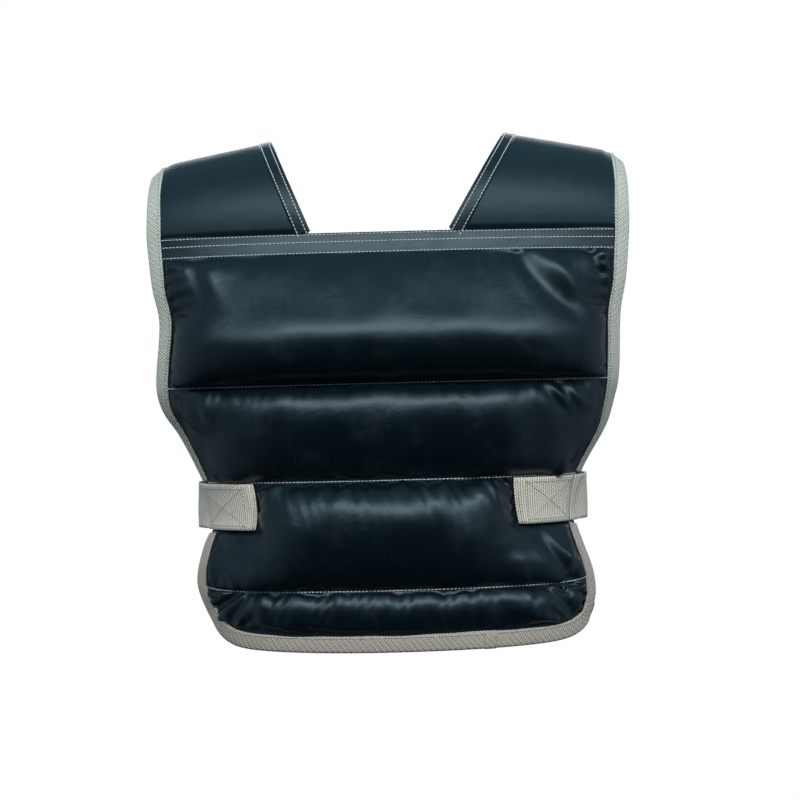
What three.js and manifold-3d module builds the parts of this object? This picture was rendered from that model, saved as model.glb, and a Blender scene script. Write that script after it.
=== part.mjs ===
// A weighted vest in the form it takes on a trunk, in millimetres.
// +Z is up, -Y is the back, +Y the front, and left and right are the wearer's own, right at +X.
// The origin is the seat: the middle of the line where the shoulder panels rest on the shoulders.

import * as THREE from 'three';
import Module from 'manifold-3d';
import { mergeVertices } from 'three/addons/utils/BufferGeometryUtils.js';

const wasm = await Module();
wasm.setup();

// Trunk
const chestHalfWidth = 210;
const backDepth = 120;
const frontDepth = 112;
const sectionPower = 2.6;

// Shoulders
const backDrop = 79.5;
const frontDrop = 117;
const shoulderSlopeDegrees = 10.7;
const shoulderWall = 3;
const edgeDroop = 8;
const droopReach = 20;
const archPower = 0.9;

// Back panel, from the yoke seam down
const yokeBand = 18;
const channelOne = 112;
const channelTwo = 83;
const channelThree = 94;
const channelFour = 36;
const backHemSweep = 5;

// Front panel
const frontBand = 16;
const frontChannel = 70;
const frontChannelCount = 4;
const frontHemSweep = 4;

// Filled channels
const seamWall = 3;
const fullOne = 37;
const fullTwo = 31;
const fullThree = 29;
const fullFour = 15;
const frontFull = 24;
const bodySideFull = 4;
const endTaper = 34;
const cornerRound = 24;
const gatherPitch = 35;
const gatherDepth = 2.6;

// Tapes and belts
const tapeLeg = 12;
const tapeWall = 1;
const facingLeg = 11;
const facingWall = 1;
const beltWidth = 40;
const beltWall = 1.7;
const tabLengthLeft = 56;
const tabLengthRight = 78;
const tabLayers = 2;

// Buckle
const buckleLength = 64;
const buckleRim = 6;
const buckleHeight = beltWidth + 2 * buckleRim;
const buckleThickness = 13;
const buckleWaist = 5;
const bucklePocket = 9;
const buckleBevel = 2;

// The belts lie just under the seam above the third channel of the back, where the back is flat.
const beltDrop = 1;
const tabRim = 3;
const tabShoulder = 13;
const tabFade = 15;

// Clearances
const gap = 0.3;
const tapeGap = 0.7;
const beltRide = 1.2;
const marginRim = 2;
const buckleRun = 4;
const beltStep = 6;

// Margins that the folded tapes cover
const sideMargin = tapeLeg + marginRim;
const hemMargin = tapeLeg + marginRim;
const neckMargin = facingLeg + marginRim;
const tabFoot = beltDrop + beltWidth + tabRim;

// Each row is a level of the back, as a share of its length below the yoke seam.
// left and right are the half widths to the edge, as shares of chestHalfWidth, edge is how far
// back the edge lies and depth how far back the middle lies, as shares of backDepth.
const backSections = [
  { down: 0.0, left: 0.97, right: 1.005, edge: 0.68, depth: 0.9 },
  { down: 0.12, left: 0.95, right: 0.985, edge: 0.7, depth: 0.985 },
  { down: 0.2, left: 0.925, right: 0.96, edge: 0.68, depth: 1.0 },
  { down: 0.36, left: 0.95, right: 0.95, edge: 0.6, depth: 1.0 },
  { down: 0.42, left: 0.93, right: 0.93, edge: 0.52, depth: 0.99 },
  { down: 0.48, left: 0.868, right: 0.9, edge: 0.44, depth: 0.98 },
  { down: 0.585, left: 0.785, right: 0.8, edge: 0.38, depth: 0.955 },
  { down: 0.64, left: 0.75, right: 0.77, edge: 0.38, depth: 0.95 },
  { down: 0.7, left: 0.738, right: 0.758, edge: 0.4, depth: 0.95 },
  { down: 0.75, left: 0.775, right: 0.78, edge: 0.46, depth: 0.955 },
  { down: 0.84, left: 0.805, right: 0.828, edge: 0.52, depth: 0.97 },
  { down: 0.92, left: 0.762, right: 0.833, edge: 0.56, depth: 0.985 },
  { down: 1.0, left: 0.735, right: 0.825, edge: 0.58, depth: 1.0 },
];

// The same for the front, whose depth shares are of frontDepth.
const frontSections = [
  { down: 0.0, left: 0.72, right: 0.72, edge: 0.74, depth: 0.86 },
  { down: 0.2, left: 0.73, right: 0.73, edge: 0.7, depth: 0.95 },
  { down: 0.45, left: 0.8, right: 0.8, edge: 0.55, depth: 1.0 },
  { down: 0.58, left: 0.77, right: 0.77, edge: 0.42, depth: 1.0 },
  { down: 0.7, left: 0.765, right: 0.765, edge: 0.42, depth: 1.0 },
  { down: 0.82, left: 0.8, right: 0.8, edge: 0.5, depth: 1.02 },
  { down: 1.0, left: 0.78, right: 0.78, edge: 0.55, depth: 1.04 },
];

// Where the neck opening and the crest lie on each shoulder, as shares of chestHalfWidth.
const shoulderSides = {
  left: {
    sign: -1, neckCorner: 0.305, frontCorner: 0.29, neckCrest: 0.478, edgeCrest: 0.965, rise: -0.007,
  },
  right: {
    sign: 1, neckCorner: 0.272, frontCorner: 0.29, neckCrest: 0.528, edgeCrest: 1.012, rise: 0.007,
  },
};

// Creases of the back. inset is how far from the edge, reach and breadth the half size along
// and across the crease, as shares of chestHalfWidth. down is a share of the back's length,
// tilt is in degrees from level, and depth is a share of fullOne.
const creases = [
  { side: 1, inset: 0.28, down: 0.17, tilt: 62, reach: 0.2, breadth: 0.05, depth: 0.3 },
  { side: 1, inset: 0.13, down: 0.13, tilt: 70, reach: 0.14, breadth: 0.045, depth: 0.3 },
  { side: -1, inset: 0.2, down: 0.12, tilt: 35, reach: 0.12, breadth: 0.05, depth: 0.3 },
  { side: -1, inset: 0.1, down: 0.2, tilt: 60, reach: 0.12, breadth: 0.045, depth: 0.28 },
  { side: 1, inset: 0.24, down: 0.395, tilt: -40, reach: 0.12, breadth: 0.045, depth: 0.22 },
  { side: -1, inset: 0.16, down: 0.4, tilt: 40, reach: 0.12, breadth: 0.05, depth: 0.25 },
  { side: 1, inset: 0.14, down: 0.53, tilt: 75, reach: 0.14, breadth: 0.045, depth: 0.3 },
  { side: -1, inset: 0.2, down: 0.74, tilt: -20, reach: 0.14, breadth: 0.045, depth: 0.22 },
  { side: 1, inset: 0.18, down: 0.78, tilt: 40, reach: 0.16, breadth: 0.045, depth: 0.24 },
];

const shell = new THREE.MeshStandardMaterial({ color: 0x141d24, roughness: 0.42, metalness: 0 });
const shellInside = new THREE.MeshStandardMaterial({ color: 0x11181d, roughness: 0.6, metalness: 0 });
const facing = new THREE.MeshStandardMaterial({ color: 0x10171c, roughness: 0.48, metalness: 0 });
const tape = new THREE.MeshStandardMaterial({ color: 0x96998d, roughness: 0.85, metalness: 0 });
const webbing = new THREE.MeshStandardMaterial({ color: 0x9c9a8c, roughness: 0.9, metalness: 0 });
const plastic = new THREE.MeshStandardMaterial({ color: 0x15171a, roughness: 0.45, metalness: 0 });

const clamp = (value, low, high) => Math.min(high, Math.max(low, value));
const mix = (from, to, share) => from + (to - from) * share;

function ease(low, high, value) {
  const share = clamp((value - low) / (high - low), 0, 1);
  return share * share * (3 - 2 * share);
}

// One column of a table of sections, read smoothly at a share of the length.
function readColumn(table, column, down) {
  const last = table.length - 1;
  const slope = (row) => {
    const before = table[Math.max(row - 1, 0)];
    const after = table[Math.min(row + 1, last)];
    return (after[column] - before[column]) / (after.down - before.down);
  };
  const at = clamp(down, table[0].down, table[last].down);
  let row = 0;
  while (row < last - 1 && table[row + 1].down <= at) {
    row += 1;
  }
  const step = table[row + 1].down - table[row].down;
  const t = (at - table[row].down) / step;
  const from = table[row][column];
  const to = table[row + 1][column];
  const hermite = from * (1 + 2 * t) * (1 - t) ** 2 + to * (3 - 2 * t) * t ** 2;
  return hermite + step * (slope(row) * t * (1 - t) ** 2 - slope(row + 1) * (1 - t) * t ** 2);
}

// The panels

// Channels one under another. A peak is the share of the height at which a channel stands out
// most, and a split the length below its upper seam at half its rows.
function channelsOf(list, band) {
  let start = band;
  return list.map((channel) => {
    const placed = { split: channel.height / 2, gathered: 0, ...channel, start };
    start += channel.height;
    return placed;
  });
}

function makePanel(shape) {
  const last = shape.channels[shape.channels.length - 1];
  return { ...shape, length: last.start + last.height + hemMargin };
}

const back = makePanel({
  facing: -1,
  top: -backDrop,
  halfDepth: backDepth,
  sections: backSections,
  channels: channelsOf([
    { height: channelOne, full: fullOne, peak: 0.7, overhang: 0.06, rows: 9 },
    { height: channelTwo, full: fullTwo, peak: 0.55, overhang: 0.25, rows: 8 },
    {
      height: channelThree, full: fullThree, peak: 0.56, overhang: 0.2, rows: 8, gathered: 1, split: tabFoot,
    },
    { height: channelFour, full: fullFour, peak: 0.52, overhang: 0.05, rows: 4, gathered: 1 },
  ], yokeBand),
  halfColumns: 15,
  hemSweep: backHemSweep,
  creases,
});

const front = makePanel({
  facing: 1,
  top: -frontDrop,
  halfDepth: frontDepth,
  sections: frontSections,
  channels: channelsOf(
    Array(frontChannelCount).fill({
      height: frontChannel, full: frontFull, peak: 0.62, overhang: 0.12, rows: 5,
    }),
    frontBand,
  ),
  halfColumns: 10,
  hemSweep: frontHemSweep,
  creases: [],
});

const tabChannel = back.channels[2];
const beltTop = back.top - tabChannel.start - beltDrop;
const beltBottom = beltTop - beltWidth;

// Half of one level section, from the middle to the edge, with the length along it.
function halfSection(panel, sign, z) {
  const down = (panel.top - z) / panel.length;
  const side = sign < 0 ? 'left' : 'right';
  const edgeX = chestHalfWidth * readColumn(panel.sections, side, down);
  const middleY = panel.halfDepth * readColumn(panel.sections, 'depth', down);
  const edgeShare = readColumn(panel.sections, 'edge', down) * panel.halfDepth / middleY;
  const sideX = edgeX / (1 - edgeShare ** sectionPower) ** (1 / sectionPower);
  const steps = 40;
  const points = [];
  let length = 0;
  for (let step = 0; step <= steps; step += 1) {
    const share = Math.sin(step / steps * Math.PI / 2);
    const x = edgeX * share;
    const y = middleY * (1 - (x / sideX) ** sectionPower) ** (1 / sectionPower);
    if (step > 0) {
      length += Math.hypot(x - points[step - 1].x, y - points[step - 1].y);
    }
    points.push({ x, y, length });
  }
  return { points, length, sideX, middleY };
}

// The point and the outward direction of a panel's seam plane, across from -1 to 1.
function seamPlane(panel, across, z) {
  const sign = across < 0 ? -1 : 1;
  const section = halfSection(panel, sign, z);
  const reach = Math.abs(across) * section.length;
  let index = 1;
  while (index < section.points.length - 1 && section.points[index].length < reach) {
    index += 1;
  }
  const before = section.points[index - 1];
  const after = section.points[index];
  const share = (reach - before.length) / (after.length - before.length);
  const x = mix(before.x, after.x, share);
  const y = mix(before.y, after.y, share);
  const slopeX = (x / section.sideX) ** (sectionPower - 1) / section.sideX;
  const slopeY = (y / section.middleY) ** (sectionPower - 1) / section.middleY;
  return {
    point: new THREE.Vector3(sign * x, panel.facing * y, z),
    outward: new THREE.Vector3(sign * slopeX, panel.facing * slopeY, 0).normalize(),
    edgeDistance: section.length - reach,
    middleDistance: reach,
  };
}

// How a channel's cloth runs from its upper seam, at 0, to its lower seam, at 1.
function channelProfile(share, peak) {
  const skew = Math.log(0.5) / Math.log(peak);
  const sagPeak = 0.75;
  return {
    bulge: Math.sin(Math.PI * share ** skew) ** 0.8,
    sag: share ** 3 * (1 - share) / (sagPeak ** 3 * (1 - sagPeak)),
  };
}

// The rise of the hem towards its corners, which is felt only near the hem.
function hemLift(panel, across, down) {
  const reach = Math.abs(across);
  const atHem = panel.hemSweep * reach ** 2 + cornerRound * reach ** 14;
  const filledLength = panel.length - hemMargin;
  return atHem * Math.min(1, down / filledLength) ** 12;
}

function creaseDepth(panel, sign, edgeDistance, down) {
  let depth = 0;
  for (const crease of panel.creases) {
    if (crease.side !== sign) {
      continue;
    }
    const tilt = THREE.MathUtils.degToRad(crease.tilt);
    const inward = edgeDistance - crease.inset * chestHalfWidth;
    const below = down - crease.down * panel.length;
    const along = inward * Math.cos(tilt) + below * Math.sin(tilt);
    const beside = below * Math.cos(tilt) - inward * Math.sin(tilt);
    const fade = (along / (crease.reach * chestHalfWidth)) ** 2
      + (beside / (crease.breadth * chestHalfWidth)) ** 2;
    depth += crease.depth * fullOne * Math.exp(-fade);
  }
  return depth;
}

// How much of the back lies beside a belt's tab, where the tab is sewn through it.
function besideTab(panel, sign, edgeDistance) {
  const start = (sign < 0 ? tabLengthLeft : tabLengthRight) + tabShoulder;
  return panel === back ? 1 - ease(start, start + tabFade, edgeDistance) : 0;
}

// The cloth of a channel: how far it stands out on each side and how far it sags.
function channelCloth(panel, channel, share, across, z) {
  const plane = seamPlane(panel, across, z);
  const sign = across < 0 ? -1 : 1;
  const { bulge, sag } = channelProfile(share, channel.peak);
  const down = channel.start + channel.height * share;
  const inside = clamp((plane.edgeDistance - sideMargin) / endTaper, 0, 1);
  const fill = Math.sin(inside * Math.PI / 2) ** 0.8;
  const tabbed = besideTab(panel, sign, plane.edgeDistance);
  const full = channel.full * bulge * fill;
  const wave = Math.cos(2 * Math.PI * plane.middleDistance / gatherPitch);
  const gather = channel.gathered * gatherDepth * wave * bulge * fill;
  const crease = creaseDepth(panel, sign, plane.edgeDistance, down) * bulge * fill;
  const foot = channel.start + tabFoot;
  const underTab = channel === tabChannel ? 1 - ease(foot, foot + tabFade, down) : 0;
  const opened = 1 - tabbed * underTab;
  const overTab = panel === back && channel.start + channel.height <= tabChannel.start;
  const held = overTab ? 1 - tabbed : 1;
  return {
    out: Math.max(0, full + gather - crease) * opened,
    sag: channel.height * channel.overhang * sag * fill * held * opened,
    bodySide: bodySideFull * Math.sin(Math.PI * share) * fill * opened,
  };
}

// The shares across a panel at which its columns stand, with one at each side margin.
function columnShares(panel, z) {
  const left = halfSection(panel, -1, z).length;
  const right = halfSection(panel, 1, z).length;
  const count = panel.halfColumns;
  const half = (length) => {
    const margin = 1 - sideMargin / length;
    return Array.from({ length: count + 1 }, (_, k) => (k === count ? 1 : margin * k / (count - 1)));
  };
  const leftShares = half(left).slice(1).reverse().map((share) => -share);
  return [...leftShares, ...half(right)];
}

// The rows of a panel from its top edge to its hem.
function panelRows(panel) {
  const rows = [{ down: 0 }];
  for (const channel of panel.channels) {
    for (let row = 0; row < channel.rows; row += 1) {
      const even = row / channel.rows;
      const upper = 2 * even * channel.split;
      const lower = mix(channel.split, channel.height, 2 * even - 1);
      const share = (even < 0.5 ? upper : lower) / channel.height;
      rows.push({ down: channel.start + channel.height * share, channel, share });
    }
  }
  rows.push({ down: panel.length - hemMargin });
  rows.push({ down: panel.length });
  return rows;
}

function panelGrids(panel) {
  const outside = [];
  const inside = [];
  for (const row of panelRows(panel)) {
    const outRow = [];
    const inRow = [];
    for (const across of columnShares(panel, panel.top - row.down)) {
      const level = panel.top - row.down + hemLift(panel, across, row.down);
      const cloth = row.channel
        ? channelCloth(panel, row.channel, row.share, across, level)
        : { out: 0, sag: 0, bodySide: 0 };
      const outer = seamPlane(panel, across, level - cloth.sag);
      const inner = seamPlane(panel, across, level);
      outRow.push(outer.point.addScaledVector(outer.outward, seamWall / 2 + cloth.out));
      inRow.push(inner.point.addScaledVector(inner.outward, -seamWall / 2 - cloth.bodySide));
    }
    outside.push(outRow);
    inside.push(inRow);
  }
  return { outside, inside };
}

// The shoulder panels

// The middle of the shoulder cloth, w from the neck edge to the outer edge, turn from the back
// seam to the front seam.
function shoulderCloth(side, w, turn) {
  const crestShare = mix(side.neckCrest, side.edgeCrest, w);
  const crestX = chestHalfWidth * crestShare;
  const middleX = chestHalfWidth * (side.neckCrest + side.edgeCrest) / 2;
  const slope = Math.tan(THREE.MathUtils.degToRad(shoulderSlopeDegrees));
  const edgeX = chestHalfWidth * side.edgeCrest;
  const droop = edgeDroop * clamp((crestX - edgeX + droopReach) / droopReach, 0, 1) ** 2;
  const crestZ = shoulderWall / 2 + (middleX - crestX) * slope - droop + side.rise * chestHalfWidth;
  const angle = turn * Math.PI;
  const atBack = turn <= 0.5;
  const panel = atBack ? back : front;
  const neckShare = atBack ? side.neckCorner : side.frontCorner;
  const neckAcross = acrossOf(panel, side.sign, neckShare * chestHalfWidth);
  const seam = seamPlane(panel, side.sign * mix(neckAcross, 1, w), panel.top).point;
  const height = Math.sin(angle) ** archPower;
  const seamZ = panel.top + gap;
  return new THREE.Vector3(
    mix(seam.x, side.sign * crestX, height),
    seam.y * Math.abs(Math.cos(angle)) ** archPower,
    mix(seamZ, crestZ, height),
  );
}

// The share across a panel's top edge that lies at a distance from the middle plane.
function acrossOf(panel, sign, x) {
  const section = halfSection(panel, sign, panel.top);
  const after = section.points.findIndex((point) => point.x >= x);
  const low = section.points[after - 1];
  const high = section.points[after];
  return mix(low.length, high.length, (x - low.x) / (high.x - low.x)) / section.length;
}

function shoulderGrids(side) {
  const turns = 14;
  const columns = 8;
  const nudge = 0.002;
  const outside = [];
  const inside = [];
  for (let row = 0; row <= turns; row += 1) {
    const turn = row / turns;
    const width = shoulderCloth(side, 0, turn).distanceTo(shoulderCloth(side, 1, turn));
    const outRow = [];
    const inRow = [];
    for (let column = 0; column <= columns; column += 1) {
      const inner = (column - 1) / (columns - 2);
      let w = mix(neckMargin / width, 1 - sideMargin / width, inner);
      w = column === 0 ? 0 : w;
      w = column === columns ? 1 : w;
      const place = shoulderCloth(side, w, turn);
      const lowTurn = Math.max(turn - nudge, 0);
      const highTurn = Math.min(turn + nudge, 1);
      const along = shoulderCloth(side, w, highTurn).sub(shoulderCloth(side, w, lowTurn));
      const lowW = Math.max(w - nudge, 0);
      const highW = Math.min(w + nudge, 1);
      const acrossIt = shoulderCloth(side, highW, turn).sub(shoulderCloth(side, lowW, turn));
      const outward = acrossIt.cross(along).multiplyScalar(side.sign).normalize();
      if (row === 0 || row === turns) {
        outward.setZ(0).normalize();
      }
      outRow.push(place.clone().addScaledVector(outward, shoulderWall / 2));
      inRow.push(place.clone().addScaledVector(outward, -shoulderWall / 2));
    }
    outside.push(outRow);
    inside.push(inRow);
  }
  return { outside, inside };
}

// Closed bodies from grids

// A closed body between an outer and an inner grid of the same rows and columns.
function closedSheet(outside, inside) {
  const rows = outside.length;
  const columns = outside[0].length;
  const points = [...outside.flat(), ...inside.flat()];
  const outer = (row, column) => row * columns + column;
  const inner = (row, column) => rows * columns + outer(row, column);
  const faces = [];
  const quad = (a, b, c, d) => {
    const straight = points[a].distanceTo(points[c]) <= points[b].distanceTo(points[d]);
    faces.push(...(straight ? [a, b, c, a, c, d] : [a, b, d, b, c, d]));
  };
  for (let row = 0; row < rows - 1; row += 1) {
    for (let column = 0; column < columns - 1; column += 1) {
      const [r, c] = [row + 1, column + 1];
      quad(outer(row, column), outer(r, column), outer(r, c), outer(row, c));
      quad(inner(row, column), inner(row, c), inner(r, c), inner(r, column));
    }
  }
  for (let row = 0; row < rows - 1; row += 1) {
    const end = columns - 1;
    quad(outer(row, 0), inner(row, 0), inner(row + 1, 0), outer(row + 1, 0));
    quad(outer(row, end), outer(row + 1, end), inner(row + 1, end), inner(row, end));
  }
  for (let column = 0; column < columns - 1; column += 1) {
    const end = rows - 1;
    quad(outer(0, column), outer(0, column + 1), inner(0, column + 1), inner(0, column));
    quad(outer(end, column), inner(end, column), inner(end, column + 1), outer(end, column + 1));
  }
  return outwardGeometry(points, faces);
}

function outwardGeometry(points, faces) {
  let volume = 0;
  for (let index = 0; index < faces.length; index += 3) {
    const [a, b, c] = [points[faces[index]], points[faces[index + 1]], points[faces[index + 2]]];
    volume += a.dot(b.clone().cross(c));
  }
  if (volume < 0) {
    faces.reverse();
  }
  const geometry = new THREE.BufferGeometry().setFromPoints(points);
  geometry.setIndex(faces);
  geometry.computeVertexNormals();
  return geometry;
}

// Folded tapes

// A point of a grid between its rows and columns.
function onGrid(grid, row, column) {
  const r = clamp(Math.floor(row), 0, grid.length - 2);
  const c = clamp(Math.floor(column), 0, grid[0].length - 2);
  const low = grid[r][c].clone().lerp(grid[r][c + 1], column - c);
  const high = grid[r + 1][c].clone().lerp(grid[r + 1][c + 1], column - c);
  return low.lerp(high, row - r);
}

// One place along an edge: the edge and a point further in, on both faces of the cloth.
function edgeStation(grids, row, column, rowIn, columnIn) {
  return {
    edgeOut: onGrid(grids.outside, row, column),
    edgeIn: onGrid(grids.inside, row, column),
    insetOut: onGrid(grids.outside, row + rowIn, column + columnIn),
    insetIn: onGrid(grids.inside, row + rowIn, column + columnIn),
  };
}

// A tape folded over an edge, with one leg on each face.
function foldedTape(stations, leg, wall) {
  const foldRound = 0.85;
  const outside = [];
  const inside = [];
  for (const { edgeOut, edgeIn, insetOut, insetIn } of stations) {
    const outward = edgeOut.clone().sub(edgeIn).normalize();
    const away = edgeOut.clone().sub(insetOut).normalize();
    const legOut = edgeOut.clone().addScaledVector(away, -leg);
    const legIn = edgeIn.clone().addScaledVector(edgeIn.clone().sub(insetIn).normalize(), -leg);
    const place = (base, along, up) => (
      base.clone().addScaledVector(away, along).addScaledVector(outward, up)
    );
    const skin = tapeGap + wall;
    outside.push([
      place(legOut, 0, skin),
      place(edgeOut, skin, skin * foldRound),
      place(edgeIn, skin, -skin * foldRound),
      place(legIn, 0, -skin),
    ]);
    inside.push([
      place(legOut, 0, tapeGap),
      place(edgeOut, tapeGap, tapeGap),
      place(edgeIn, tapeGap, -tapeGap),
      place(legIn, 0, -tapeGap),
    ]);
  }
  return closedSheet(outside, inside);
}

// The fractional row of a panel's edge column at a height.
function rowAtHeight(grids, column, z) {
  const heights = grids.outside.map((row) => row[column].z);
  const after = heights.findIndex((height) => height <= z);
  return after - 1 + (heights[after - 1] - z) / (heights[after - 1] - heights[after]);
}

const backGrids = panelGrids(back);
const frontGrids = panelGrids(front);

function sideEdge(grids, sign) {
  const column = sign < 0 ? 0 : grids.outside[0].length - 1;
  return { column, inward: -sign };
}

// From the belt up the back edge, over the shoulder and down the front edge to the belt.
function armholeTape(side, shoulder) {
  const stations = [];
  const backEdge = sideEdge(backGrids, side.sign);
  const frontEdge = sideEdge(frontGrids, side.sign);
  const backEnd = rowAtHeight(backGrids, backEdge.column, beltTop + tapeGap);
  const frontEnd = rowAtHeight(frontGrids, frontEdge.column, beltTop + tapeGap);
  stations.push(edgeStation(backGrids, backEnd, backEdge.column, 0, backEdge.inward));
  for (let row = Math.ceil(backEnd) - 1; row > 0; row -= 1) {
    stations.push(edgeStation(backGrids, row, backEdge.column, 0, backEdge.inward));
  }
  const outer = shoulder.outside[0].length - 1;
  for (let row = 0; row < shoulder.outside.length; row += 1) {
    stations.push(edgeStation(shoulder, row, outer, 0, -1));
  }
  for (let row = 1; row < frontEnd; row += 1) {
    stations.push(edgeStation(frontGrids, row, frontEdge.column, 0, frontEdge.inward));
  }
  stations.push(edgeStation(frontGrids, frontEnd, frontEdge.column, 0, frontEdge.inward));
  return foldedTape(stations, tapeLeg, tapeWall);
}

// From the belt down one edge, round the corner, along the hem and up to the other belt.
function hemTape(grids) {
  const lastRow = grids.outside.length - 1;
  const lastColumn = grids.outside[0].length - 1;
  const cornerTurn = [0.9, 0.6, 0.3, 0.1];
  const cornerRise = -0.15;
  const hemRise = -0.95;
  const stations = [];
  const addSide = (column, inward) => {
    const side = [];
    const start = rowAtHeight(grids, column, beltBottom - tapeGap);
    side.push(edgeStation(grids, start, column, 0, inward));
    for (let row = Math.floor(start) + 1; row < lastRow; row += 1) {
      const rise = row === lastRow - 1 ? cornerRise : 0;
      side.push(edgeStation(grids, row, column, rise, inward));
    }
    return side;
  };
  stations.push(...addSide(0, 1));
  for (let column = 0; column <= lastColumn; column += 1) {
    const fromLeft = cornerTurn[column] ?? 0;
    const fromRight = cornerTurn[lastColumn - column] ?? 0;
    stations.push(edgeStation(grids, lastRow, column, hemRise, fromLeft - fromRight));
  }
  stations.push(...addSide(lastColumn, -1).reverse());
  return foldedTape(stations, tapeLeg, tapeWall);
}

function neckFacing(shoulder) {
  const rows = shoulder.outside.length;
  const stations = Array.from({ length: rows }, (_, row) => edgeStation(shoulder, row, 0, 0, 1));
  return foldedTape(stations, facingLeg, facingWall);
}

// Belts and buckle

// The half width of a section at a distance from the middle plane between back and front.
function widthAt(section, y) {
  return section.sideX * (1 - (y / section.middleY) ** sectionPower) ** (1 / sectionPower);
}

// What the belt closes round at one side, seen from above: the trunk and the filled front.
function beltGround(sign) {
  const ground = [];
  const trunkShares = [0.2, 0.5, 0.8, 1];
  const beside = frontChannel / 4;
  for (const z of [beltTop, (beltTop + beltBottom) / 2, beltBottom]) {
    const backHalf = halfSection(back, sign, z);
    const backEdge = backHalf.points[backHalf.points.length - 1];
    for (const share of trunkShares) {
      const y = mix(backEdge.y, 0, share);
      ground.push({ x: widthAt(backHalf, y), y: -y });
    }
  }
  for (const point of frontGrids.outside.flat()) {
    const under = point.z < beltTop + beside && point.z > beltBottom - beside;
    if (under && point.x * sign >= 0) {
      ground.push({ x: point.x * sign, y: point.y });
    }
  }
  return ground;
}

// The taut way round the ground, from the back edge to the part of the front that stands out most.
function tautRoute(ground, start) {
  const furthest = ground.reduce((best, point) => (point.y > best.y ? point : best));
  const route = [start];
  let here = start;
  while (here !== furthest) {
    const from = here;
    const turn = (point) => Math.atan2(point.y - from.y, from.x - point.x);
    const ahead = ground.filter((point) => point.y > from.y);
    here = ahead.reduce((best, point) => (turn(point) > turn(best) ? point : best));
    const last = route[route.length - 1];
    if (Math.hypot(here.x - last.x, here.y - last.y) > beltStep) {
      route.push(here);
    }
  }
  return route;
}

const grounds = { [-1]: beltGround(-1), [1]: beltGround(1) };
const furthestFront = Math.max(...Object.values(grounds).flat().map((point) => point.y));
const buckleY = furthestFront + beltRide + buckleThickness / 2;

// The belt's inner face at one height, from the tab's inner end to the buckle.
function beltRoute(sign, z) {
  const backHalf = halfSection(back, sign, z);
  const tabLength = sign < 0 ? tabLengthLeft : tabLengthRight;
  const tabStart = 1 - tabLength / backHalf.length;
  const lift = seamWall / 2 + tapeGap;
  const onBack = 6;
  const route = [];
  for (let step = 0; step <= onBack; step += 1) {
    const plane = seamPlane(back, sign * mix(tabStart, 1, step / onBack), z);
    route.push({ point: plane.point.clone().addScaledVector(plane.outward, lift), tab: true });
  }
  const edge = backHalf.points[backHalf.points.length - 1];
  const around = tautRoute(grounds[sign], { x: edge.x, y: -edge.y });
  const off = lift + beltRide;
  for (let index = 1; index < around.length; index += 1) {
    const before = around[index - 1];
    const after = around[Math.min(index + 1, around.length - 1)];
    const length = Math.hypot(after.x - before.x, after.y - before.y);
    const x = around[index].x + (after.y - before.y) / length * off;
    const y = around[index].y + (before.x - after.x) / length * off;
    if (x > buckleLength / 2 + 2 * buckleRun) {
      route.push({ point: new THREE.Vector3(sign * x, y, z), tab: false });
    }
  }
  const pocketY = buckleY - beltWall / 2;
  for (const x of [buckleLength / 2 + buckleRun, buckleLength / 2 - bucklePocket + gap]) {
    route.push({ point: new THREE.Vector3(sign * x, pocketY, z), tab: false });
  }
  return route;
}

function belt(sign) {
  const heights = 3;
  const inside = [];
  const outside = [];
  for (let step = 0; step <= heights; step += 1) {
    const route = beltRoute(sign, mix(beltTop, beltBottom, step / heights));
    const inner = route.map((place) => place.point);
    const outer = route.map((place, index) => {
      const after = inner[Math.min(index + 1, inner.length - 1)];
      const before = inner[Math.max(index - 1, 0)];
      const along = after.clone().sub(before).normalize();
      const outward = new THREE.Vector3(along.y, -along.x, 0).multiplyScalar(sign).normalize();
      const layers = place.tab ? tabLayers : 1;
      return place.point.clone().addScaledVector(outward, beltWall * layers);
    });
    inside.push(inner);
    outside.push(outer);
  }
  return closedSheet(outside, inside);
}

function manifoldOf(geometry) {
  const bare = geometry.clone();
  bare.deleteAttribute('normal');
  bare.deleteAttribute('uv');
  const merged = mergeVertices(bare);
  return new wasm.Manifold(new wasm.Mesh({
    numProp: 3,
    vertProperties: new Float32Array(merged.attributes.position.array),
    triVerts: new Uint32Array(merged.index.array),
  }));
}

function geometryOf(solid) {
  const mesh = solid.getMesh();
  const geometry = new THREE.BufferGeometry();
  geometry.setAttribute('position', new THREE.BufferAttribute(mesh.vertProperties, 3));
  geometry.setIndex(new THREE.BufferAttribute(mesh.triVerts, 1));
  geometry.computeVertexNormals();
  return geometry;
}

// A plain clasp with a drawn-in waist and a pocket at each end for a belt.
function buckle() {
  const endX = buckleLength / 2 - buckleBevel;
  const topZ = buckleHeight / 2 - buckleBevel;
  const depth = buckleThickness - 2 * buckleBevel;
  const outline = new THREE.Shape();
  outline.moveTo(-endX, -topZ);
  outline.quadraticCurveTo(0, -topZ + 2 * buckleWaist, endX, -topZ);
  outline.lineTo(endX, topZ);
  outline.quadraticCurveTo(0, topZ - 2 * buckleWaist, -endX, topZ);
  outline.closePath();
  const body = new THREE.ExtrudeGeometry(outline, {
    depth,
    bevelThickness: buckleBevel,
    bevelSize: buckleBevel,
    bevelSegments: 2,
    curveSegments: 8,
  });
  body.translate(0, 0, -depth / 2);
  body.rotateX(Math.PI / 2);
  let solid = manifoldOf(body);
  for (const sign of [-1, 1]) {
    const pocket = new THREE.BoxGeometry(2 * bucklePocket, beltWall + 2 * gap, beltWidth + 2 * gap);
    pocket.translate(sign * buckleLength / 2, 0, 0);
    solid = solid.subtract(manifoldOf(pocket));
  }
  return geometryOf(solid);
}

// Assembly

const group = new THREE.Group();

function addPiece(name, geometry, material) {
  const piece = new THREE.Mesh(geometry, material);
  piece.name = name;
  group.add(piece);
  return piece;
}

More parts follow.
